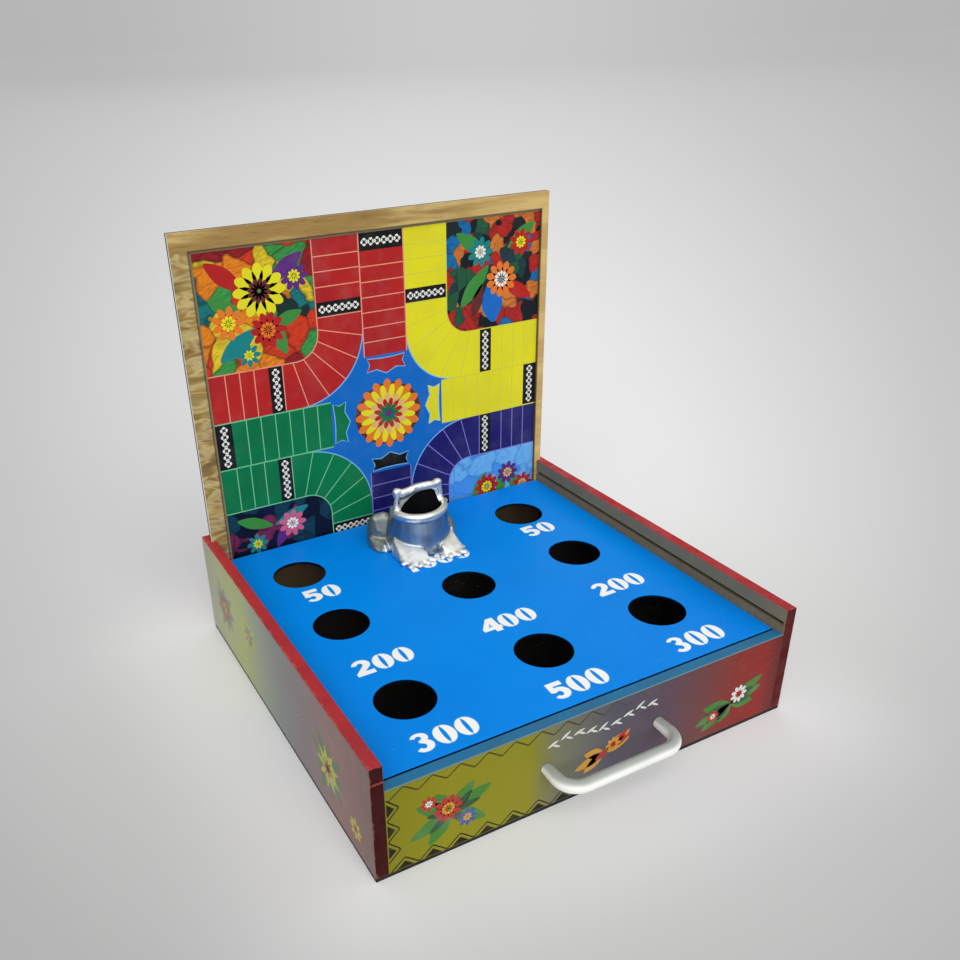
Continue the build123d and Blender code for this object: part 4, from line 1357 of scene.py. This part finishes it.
film_green = make_ink("film_leaf_green", (62, 122, 44), 0.2)
film_dusk = make_ink("film_leaf_dark", (40, 78, 50), 0.2)
film_red = make_ink("film_bloom_red", (172, 48, 40), 0.15)
film_gold = make_ink("film_bloom_gold", (206, 150, 46), 0.15)
film_blue = make_ink("film_bloom_blue", (60, 84, 150), 0.15)
film_white = make_ink("film_mark_white", (214, 214, 208), 0.1)
washed_green = make_ink("side_leaf_green", (96, 112, 78), 0.35)
washed_grey = make_ink("side_leaf_grey", (132, 130, 116), 0.35)
washed_gold = make_ink("side_bloom_gold", (178, 176, 62), 0.3)
washed_red = make_ink("side_bloom_red", (160, 92, 72), 0.3)


def spray_of_leaves(x, y, size, width, level, ink, turns):
    """Leaves that spring from one point: each turn comes with its share of the size."""
    return [([leaf(x, y, size * reach, size * width, turn)], level, ink) for turn, reach in turns]


# Plugs that close the grooves at the front
for name, side in (("left_groove_end", -1), ("right_groove_end", 1)):
    inner, bed = side * (INNER_FACE + PLUG_PLAY), side * (GROOVE_BED - PLUG_PLAY)
    plug = slab(inner, GROOVE_LEVEL - PLUG_HALF, bed, GROOVE_LEVEL + PLUG_HALF)
    print_shapes(name, "front", [([plug], -PLUG_DEPTH, side_panel_finish)])

front_art = []
for row in (
    (
        -120, 34, 32, 0.36, 0.23, film_green,
        [(20, 1.0), (48, 0.8), (-32, 0.95), (150, 0.9), (200, 1.0), (232, 0.85), (120, 0.7)],
    ),
    (-120, 34, 20, 0.3, 0.24, film_dusk, [(5, 1.1), (35, 0.9), (-50, 0.9), (170, 0.9), (215, 1.0)]),
    (2, 30, 25, 0.34, 0.23, film_gold, [(28, 1.0), (12, 0.9), (195, 1.0), (215, 0.8), (165, 0.7)]),
    (6, 31, 20, 0.3, 0.24, film_red, [(35, 1.0), (20, 1.0), (205, 0.6)]),
    (
        120, 26, 34, 0.3, 0.23, film_green,
        [(28, 1.0), (12, 0.9), (-12, 0.7), (196, 1.0), (212, 0.9), (172, 0.8), (236, 0.5)],
    ),
    (120, 26, 22, 0.3, 0.24, film_dusk, [(18, 1.1), (0, 0.9), (186, 1.1), (205, 1.0), (222, 0.8)]),
):
    front_art += spray_of_leaves(*row)
for i in range(9):
    stem = -46 + i * 10.5
    height = 54 + 3.0 * math.sin(i * 1.1)
    front_art.append(([leaf(stem, height, 9.5, 2.2, 24 + 10 * math.sin(i * 2.0))], 0.23, film_white))
    front_art.append(([leaf(stem + 4, height + 1, 7.0, 1.8, -28)], 0.235, film_white))
print_shapes("front_film_leaves", "front", front_art)

front_blooms = [
    (-122, 38, 11, film_red, film_gold, 10, 0.25),
    (-108, 24, 7.5, film_blue, film_gold, 8, 0.26),
    (-136, 48, 6.5, film_red, film_white, 8, 0.26),
    (10, 34, 6.5, film_gold, film_red, 8, 0.26),
    (128, 32, 8.0, film_white, film_red, 9, 0.26),
    (104, 20, 6.0, film_red, film_white, 8, 0.26),
]
blooms("front_film_blooms", "front", front_blooms)

side_sprays = (
    (-122, 46, 40, washed_grey, washed_green),
    (-58, 54, 26, washed_gold, washed_green),
    (100, 40, 44, washed_green, washed_gold),
)
side_blooms = (
    (-122, 46, 12, washed_red, washed_gold, 9, 0.26),
    (-58, 54, 8, washed_grey, washed_gold, 8, 0.26),
    (100, 40, 13, washed_gold, washed_red, 10, 0.26),
    (142, 22, 9, washed_gold, washed_red, 8, 0.26),
)
for face, flip in (("left", 1), ("right", -1)):
    side_art = []
    for centre, height, size, ink, over in side_sprays:
        turns = [(t, 0.9 + 0.1 * math.sin(t)) for t in range(0, 360, 40)]
        side_art += spray_of_leaves(flip * centre, height, size * 0.7, 0.3, 0.23, ink, turns)
        turns = [(t + 20, 1.0) for t, _ in turns]
        side_art += spray_of_leaves(flip * centre, height, size * 0.42, 0.28, 0.24, over, turns)
    print_shapes(face + "_film_leaves", face, side_art)
    flipped = [(flip * x, *rest) for x, *rest in side_blooms]
    blooms(face + "_film_blooms", face, flipped)


# The frog casting

FOOT = 72.15
# The forelegs spread a little differently on each side
FORELEG_REACH = {1: 0.92, -1: 1.02}
# Where the smooth wall of the cup ends
WALL_TOP = 106.5
WALL_BACK = 112.0
WALL_SWELL = 1.09


def oval(z, half_width, front, back, count=36):
    """A level ring of points."""
    turns = [math.tau * i / count for i in range(count)]
    middle, half_depth = (front + back) / 2, (back - front) / 2
    return [(half_width * math.cos(t), middle + half_depth * math.sin(t), z) for t in turns]


def ball(x, y, z, across, along, tall):
    """Points evenly over an egg shape."""
    points = []
    for i in range(90):
        rise = math.acos(1 - 2 * (i + 0.5) / 90)
        turn = math.pi * (1 + math.sqrt(5)) * i
        out = math.sin(rise)
        side, ahead = math.cos(turn) * out, math.sin(turn) * out
        points.append((x + across * side, y + along * ahead, z + tall * math.cos(rise)))
    return points


def add_lump(work, points, side=1):
    """The tight skin round a set of points, in mm, added to the clay."""
    made = [work.verts.new(Vector((side * x, y, z)) * MM) for x, y, z in points]
    shell = bmesh.ops.convex_hull(work, input=made, use_existing_faces=False)
    spare = {v for v in shell["geom_interior"] + shell["geom_unused"] if isinstance(v, bmesh.types.BMVert)}
    bmesh.ops.delete(work, geom=list(spare), context="VERTS")


def add_roll(work, path, radii, side=1):
    """A rounded roll of clay along a path, as for a lip or a brow."""
    for a, b in zip(path, path[1:]):
        add_lump(work, ball(*a, *radii) + ball(*b, *radii), side)


def lip_line(steps=26):
    """The thick rim of the mouth's cup, from cheek to cheek round the front."""
    turns = [math.radians(-196 + 212 * i / steps) for i in range(steps + 1)]
    return [(22.6 * math.cos(t), 95.5 + 20.6 * math.sin(t), 108.6 + 0.5 * math.sin(t)) for t in turns]


# The cup of belly and chest: height, half width, front and back of each level
CUP = [
    (FOOT, 29.6, 69.6, 129.0), (82.0, 29.0, 70.4, 128.0), (92.0, 28.0, 71.6, 126.0),
    (101.0, 26.6, 73.2, 121.0), (108.6, 25.0, 74.8, 113.0),
]


def shape_torso(work):
    """The round cup of the belly and chest, and the rump behind it."""
    add_lump(work, [point for level in CUP for point in oval(*level)])
    add_lump(work, ball(0, 117.0, 86.0, 22.0, 18.0, 15.0) + ball(0, 108.0, 104.0, 16.0, 9.0, 9.0))


def shape_head(work):
    """The upper jaw: an upright plate with a thick brow, narrowing to the back."""
    plate = [
        (22.8, 94.2, 106.0), (22.9, 94.4, 112.0), (22.4, 94.8, 119.0), (21.4, 95.4, 126.0),
        (10.0, 95.8, 127.4), (0.0, 96.0, 128.0),
    ]
    plate += [(22.0, 98.8, 106.0), (21.6, 98.8, 118.0), (20.4, 99.4, 125.5), (0.0, 101.0, 127.0)]
    back = [(15.5, 108.0, 106.0), (14.0, 105.5, 116.0), (8.0, 106.5, 121.0), (0.0, 107.0, 122.0)]
    add_lump(work, plate + back + [(-x, y, z) for x, y, z in plate + back])
    brow = [
        (-20.4, 96.6, 125.4), (-15.0, 96.0, 124.8), (-8.0, 96.0, 125.8), (0.0, 96.4, 126.9),
        (8.0, 96.0, 126.6), (15.0, 96.0, 125.8), (20.0, 96.4, 125.8),
    ]
    add_roll(work, brow, (3.6, 3.4, 4.3))
    cheek = [(20.8, 95.4, 124.5), (21.6, 95.2, 118.0), (21.9, 95.0, 112.0), (21.8, 95.2, 107.0)]
    for side in (-1, 1):
        add_roll(work, cheek, (2.4, 2.4, 2.4), side)
        add_lump(work, ball(19.6, 96.6, 127.2, 4.6, 3.8, 4.0), side)
        add_lump(work, ball(21.0, 95.0, 110.2, 3.9, 3.9, 3.8) + ball(21.9, 95.6, 116.0, 2.4, 2.6, 2.4), side)


def shape_legs(work, side):
    """A thigh, a hind foot, a low foreleg and its toes, on one side."""
    thigh = ball(26.0, 117.0, 86.0, 14.2, 13.5, 13.6) + ball(28.0, 119.0, 76.0, 11.5, 12.0, 4.5)
    knee = ball(27.0, 111.0, 98.0, 5.0, 6.0, 5.6) + ball(34.0, 114.0, 97.0, 4.0, 5.0, 5.0)
    add_lump(work, thigh + knee, side)
    hind = [
        (33.5, 93.2, FOOT), (39.6, 98.4, FOOT), (42.2, 106.0, FOOT), (42.4, 112.0, 76.0), (41.8, 113.0, 83.0),
        (38.0, 104.0, 81.0),
    ]
    hind += [
        (34.0, 96.0, 79.0), (26.0, 96.0, FOOT), (26.0, 112.0, FOOT), (28.0, 105.0, 81.0), (36.0, 120.0, 74.0),
    ]
    add_lump(work, hind, side)
    upper = [
        (7.6, 66.6, 80.4), (17.0, 67.6, 80.2), (26.0, 75.0, 80.6), (28.8, 87.0, 86.0), (27.6, 92.0, 88.0),
    ]
    lower = [
        (8.6, 61.2, 76.6), (16.0, 59.2, 76.4), (24.2, 60.0, 76.0), (29.2, 64.0, 76.0), (31.0, 72.0, 76.4),
        (31.4, 84.0, 77.0),
    ]
    foot = [
        (9.0, 61.4, FOOT), (16.0, 59.6, FOOT), (24.0, 60.2, FOOT), (28.6, 64.0, FOOT), (31.0, 74.0, FOOT),
        (31.5, 88.0, FOOT),
    ]
    inner = [(9.0, 76.0, FOOT), (20.0, 92.0, FOOT), (20.0, 92.0, 80.0)]
    reach = FORELEG_REACH[side]
    upper, lower, foot = ([(x * reach, y, z) for x, y, z in part] for part in (upper, lower, foot))
    add_lump(work, upper + lower + foot + inner, side)
    rim = [(9.2, 61.8, 75.6), (16.0, 60.0, 75.4), (24.0, 60.6, 75.0), (28.6, 64.2, 75.0), (30.6, 72.0, 75.4)]
    add_roll(work, [(x * reach, y, z) for x, y, z in rim], (1.3, 1.3, 1.3), side)
    toes = (
        (4.2, 57.2, 8.4, 64.0), (11.6, 54.8, 12.4, 61.0), (19.4, 54.0, 17.4, 60.0), (27.6, 56.0, 22.9, 61.0),
        (30.4, 64.0, 26.5, 66.0),
    )
    for x, y, root_x, root_y in toes:
        toe = ball(x * reach, y + 2.6, 73.8, 2.9, 2.9, 2.2)
        add_lump(work, toe + ball(root_x * reach, root_y, 74.2, 3.0, 2.6, 2.5), side)


def mesh_piece(name, build):
    work = bmesh.new()
    build(work)
    bmesh.ops.recalc_face_normals(work, faces=work.faces)
    return stand(name, work)


def shape_clay(work):
    shape_torso(work)
    shape_head(work)
    for side in (-1, 1):
        shape_legs(work, side)
    add_roll(work, lip_line(), (3.7, 3.7, 3.7))


MOUTH_ARCH = [
    (-20.4, 107.5), (-18.4, 111.5), (-14.4, 116.0), (-8.0, 120.5), (-1.0, 123.4), (6.0, 124.6), (11.5, 124.4),
    (15.8, 121.2), (18.0, 115.0), (19.0, 108.0),
]


def mouth_hollow(work):
    """The open mouth and the throat down to the deck's hole."""
    points = oval(71.0, 18.6, 79.4, 116.6) + oval(96.0, 19.6, 78.4, 108.0) + oval(109.0, 18.8, 78.0, 94.0)
    points += [(x, y, z) for x, z in MOUTH_ARCH for y in (90.0, 98.4)]
    points += [(x * 0.72, 104.0, 104.0 + (z - 104.0) * 0.75) for x, z in MOUTH_ARCH]
    add_lump(work, points)


def settle(piece):
    """Bakes a piece's modifiers into its mesh."""
    look = bpy.context.evaluated_depsgraph_get()
    mesh = bpy.data.meshes.new_from_object(piece.evaluated_get(look))
    piece.modifiers.clear()
    piece.data = mesh


def cast_frog():
    frog = mesh_piece("frog_skin", shape_clay)
    skin = frog.modifiers.new("skin", "REMESH")
    skin.mode = "VOXEL"
    skin.voxel_size = 0.0008
    soft = frog.modifiers.new("soft", "SMOOTH")
    soft.factor = 0.5
    soft.iterations = 10
    settle(frog)
    return frog


def cut_mouth(frog, metal, dark):
    hollow = mesh_piece("mouth_hollow", mouth_hollow)
    for piece in (frog, hollow):
        piece.data.materials.clear()
        piece.data.materials.append(metal)
        piece.data.materials.append(dark)
    for face in hollow.data.polygons:
        face.material_index = 1
    cut = frog.modifiers.new("mouth", "BOOLEAN")
    cut.operation = "DIFFERENCE"
    cut.solver = "MANIFOLD"
    cut.object = hollow
    settle(frog)
    bpy.data.objects.remove(hollow)
    frog.data.set_sharp_from_angle(angle=math.radians(50))


def within(value, low=0.0, high=1.0):
    return min(max(value, low), high)


def polish(frog):
    """Marks the smooth wall of the cup, which is rubbed bright, apart from the rough casting."""
    (foot, *low), (top, *high) = CUP[0], CUP[-1]
    mark = frog.data.attributes.new(RUBBED_WALL, "FLOAT", "POINT")
    for vertex, value in zip(frog.data.vertices, mark.data):
        x, y, z = vertex.co / MM
        level = within((z - foot) / (top - foot))
        half, front, back = (a + (b - a) * level for a, b in zip(low, high))
        middle = (front + back) / 2
        out = math.hypot(x / half, (y - middle) / (middle - front))
        near = within((WALL_SWELL - out) / 0.05) * within((WALL_TOP - z) / 2.0)
        value.value = near if y < WALL_BACK else 0.0


# The sand grain of the casting, as noise scale and depth, and where the casting isn't rubbed smooth
SAND_GRAIN = ((260, 0.00024), (90, 0.0002))
ROUGH_ABOVE = 0.120
ROUGH_BEYOND = 0.033


def make_frog():
    """The casting in the place of the plainer CAD solid, kept inside that solid's box."""
    frog = cast_frog()
    cut_mouth(frog, make_casting_metal(), make_throat_finish())
    low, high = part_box("frog")
    normals = [vertex.normal.copy() for vertex in frog.data.vertices]
    for vertex, normal in zip(frog.data.vertices, normals):
        spot = vertex.co
        grain = sum(noise.noise(spot * scale) * depth for scale, depth in SAND_GRAIN)
        rough = spot.z > ROUGH_ABOVE or abs(spot.x) > ROUGH_BEYOND
        spot += normal * grain * (1.8 if rough else 0.3)
        for axis in range(3):
            spot[axis] = within(spot[axis], low[axis], high[axis])
    polish(frog)
    for face in frog.data.polygons:
        face.use_smooth = True
    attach(frog, "frog_casting")
    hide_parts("frog")


make_frog()


# Studio

FLOOR_HEADING = 28.165
HEADING_COS = math.cos(math.radians(FLOOR_HEADING))
HEADING_SIN = math.sin(math.radians(FLOOR_HEADING))
CAMERA_FOOT = (-0.0327, -0.6531, 0.0)
# The painted pool of light on the floor, seen along the camera's heading
POOL_MIDDLE = (0.025, 0.372)
POOL_REACH = 0.883
POOL_DEPTH = 1.127
POOL_SQUASH = 0.42
# The floor beside the box brightened with painted light against the box's shade, and the run over which the
# floor turns into the backdrop
GLOW_REACH = 0.14
GLOW = 0.56
BACKDROP_FROM = 4.0
BACKDROP_FULL = 20.0
FLOOR_RADIUS = 60.0
FLOOR_TONES = [
    (0.0, shade(246, 246, 246)), (0.21, shade(236, 236, 236)), (0.41, shade(214, 214, 214)),
    (0.49, shade(204, 204, 204)), (0.7, shade(186, 186, 186)), (1.0, shade(172, 172, 172)),
]


def backdrop_tone(bench, aside):
    """The backdrop's grey, a painted falloff of light: lightest just right of the middle, darker to both
    sides.
    """
    edge = bench.fade(bench.sum("ABSOLUTE", bench.minus(aside, 0.05)), 0.0, 0.42)
    return bench.blend(edge, shade(201, 201, 201), shade(182, 182, 182))


def make_floor():
    """A pale floor with a painted pool of light that is lightest round the object and widens away from the
    front.
    """
    f = Finish("studio_floor", Roughness=0.9, Specular_IOR_Level=0.1)
    turned = f.stretch(f.where, (1.0, 1.0, 1.0), (0.0, 0.0, math.radians(FLOOR_HEADING)))
    across, ahead, _ = f.split(turned)
    ahead = f.minus(ahead, POOL_MIDDLE[1])
    across = f.minus(across, POOL_MIDDLE[0])
    spread = f.most(f.plus(f.times(ahead, POOL_REACH), POOL_DEPTH), 0.3)
    flat = f.vector("DIVIDE", f.join(across, f.times(ahead, POOL_SQUASH), 0.0), f.join(spread, spread, 1.0))
    far = f.length(flat)
    tone = f.ramp(f.fade(far, 0.0, 1.0, 0.0, 1.0, False), FLOOR_TONES)
    # Painted light: the floor by the box's front and left is lightened where the box's shade falls
    x, y, _ = f.split(f.where)
    beside = f.most(f.minus(f.sum("ABSOLUTE", x), HALF_WIDTH * MM), 0.0)
    before = f.most(f.minus(f.sum("ABSOLUTE", y), HALF_DEPTH * MM), 0.0)
    apart = f.length(f.join(beside, before))
    close = f.sum("POWER", f.fade(apart, 0.0, GLOW_REACH, 1.0, 0.0, False), 2.0)
    close = f.times(close, GLOW)
    lit = f.most(f.fade(x, 0.0, -0.15), f.fade(y, 0.0, -0.15))
    tone = f.stain(f.times(close, lit), tone, 255, 255, 255)
    x, y, _ = f.split(f.vector("SUBTRACT", turned, CAMERA_FOOT))
    distance = f.length(f.join(x, y))
    backdrop = backdrop_tone(f, f.sum("DIVIDE", x, distance))
    tone = f.blend(f.fade(distance, BACKDROP_FROM, BACKDROP_FULL), tone, backdrop)
    grain = f.noise(f.where, 3.0, 2.0)
    f.colour(f.stain(f.fade(grain, 0.3, 0.7, 0.0, 0.03), tone, 210, 210, 210))
    f.relief(f.noise(f.where, 500.0, 2.0), 0.0001, 0.1)
    work = bmesh.new()
    bmesh.ops.create_circle(work, cap_ends=True, segments=96, radius=FLOOR_RADIUS)
    floor = stand("studio_floor", work, [f.material])
    floor.location.z = -0.0002
    floor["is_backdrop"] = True


def make_world():
    """Even fill light, and the backdrop that the camera and reflections see."""
    world = bpy.data.worlds.new("studio")
    scene.world = world
    world.use_nodes = True
    bench = Bench(world.node_tree)
    bench.tree.nodes.clear()
    out = bench.add("ShaderNodeOutputWorld")
    path = bench.add("ShaderNodeLightPath").outputs
    seen = bench.most(path["Is Camera Ray"], bench.most(path["Is Glossy Ray"], path["Is Transmission Ray"]))
    fill = bench.add("ShaderNodeBackground", {"Color": (1.0, 1.0, 1.0, 1.0), "Strength": 0.6})
    way = bench.add("ShaderNodeTexCoord").outputs["Generated"]
    x, y, up = bench.split(way)
    aside = bench.minus(bench.times(x, HEADING_COS), bench.times(y, HEADING_SIN))
    sky = bench.blend(bench.fade(up, 0.05, 0.6), backdrop_tone(bench, aside), shade(255, 255, 255))
    shown = bench.add("ShaderNodeBackground", {"Color": sky, "Strength": 1.0})
    mixed = bench.add("ShaderNodeMixShader", {0: seen, 1: fill.outputs[0], 2: shown.outputs[0]})
    bench.feed(out.inputs[0], mixed.outputs[0])


def add_soft_light(name, place, target, spread, strength):
    """A broad even light, as from a large softbox far off."""
    light = bpy.data.lights.new(name, "SUN")
    light.angle = math.radians(spread)
    light.energy = strength
    lamp = bpy.data.objects.new(name, light)
    lamp.location = place
    lamp.rotation_euler = (Vector(target) - Vector(place)).to_track_quat("-Z", "Y").to_euler()
    scene.collection.objects.link(lamp)


def add_camera():
    data = bpy.data.cameras.new("photo_camera")
    data.sensor_width = 36.0
    data.lens = 35.132
    data.shift_x = 0.0611
    data.shift_y = 0.0575
    data.clip_start = 0.01
    camera = bpy.data.objects.new("photo_camera", data)
    camera.location = (-0.33712, -0.56033, 0.47328)
    camera.rotation_euler = [math.radians(a) for a in (61.9297, 1.5505, -28.1651)]
    scene.collection.objects.link(camera)
    scene.camera = camera


make_floor()
make_world()
add_soft_light("front_softbox", place=(-0.5, -1.6, 1.3), target=(0.0, 0.0, 0.05), spread=70.0, strength=1.95)
add_camera()

low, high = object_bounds()
sizes = {"cad": [list(cad_low), list(cad_high)], "visual": [list(low), list(high)]}
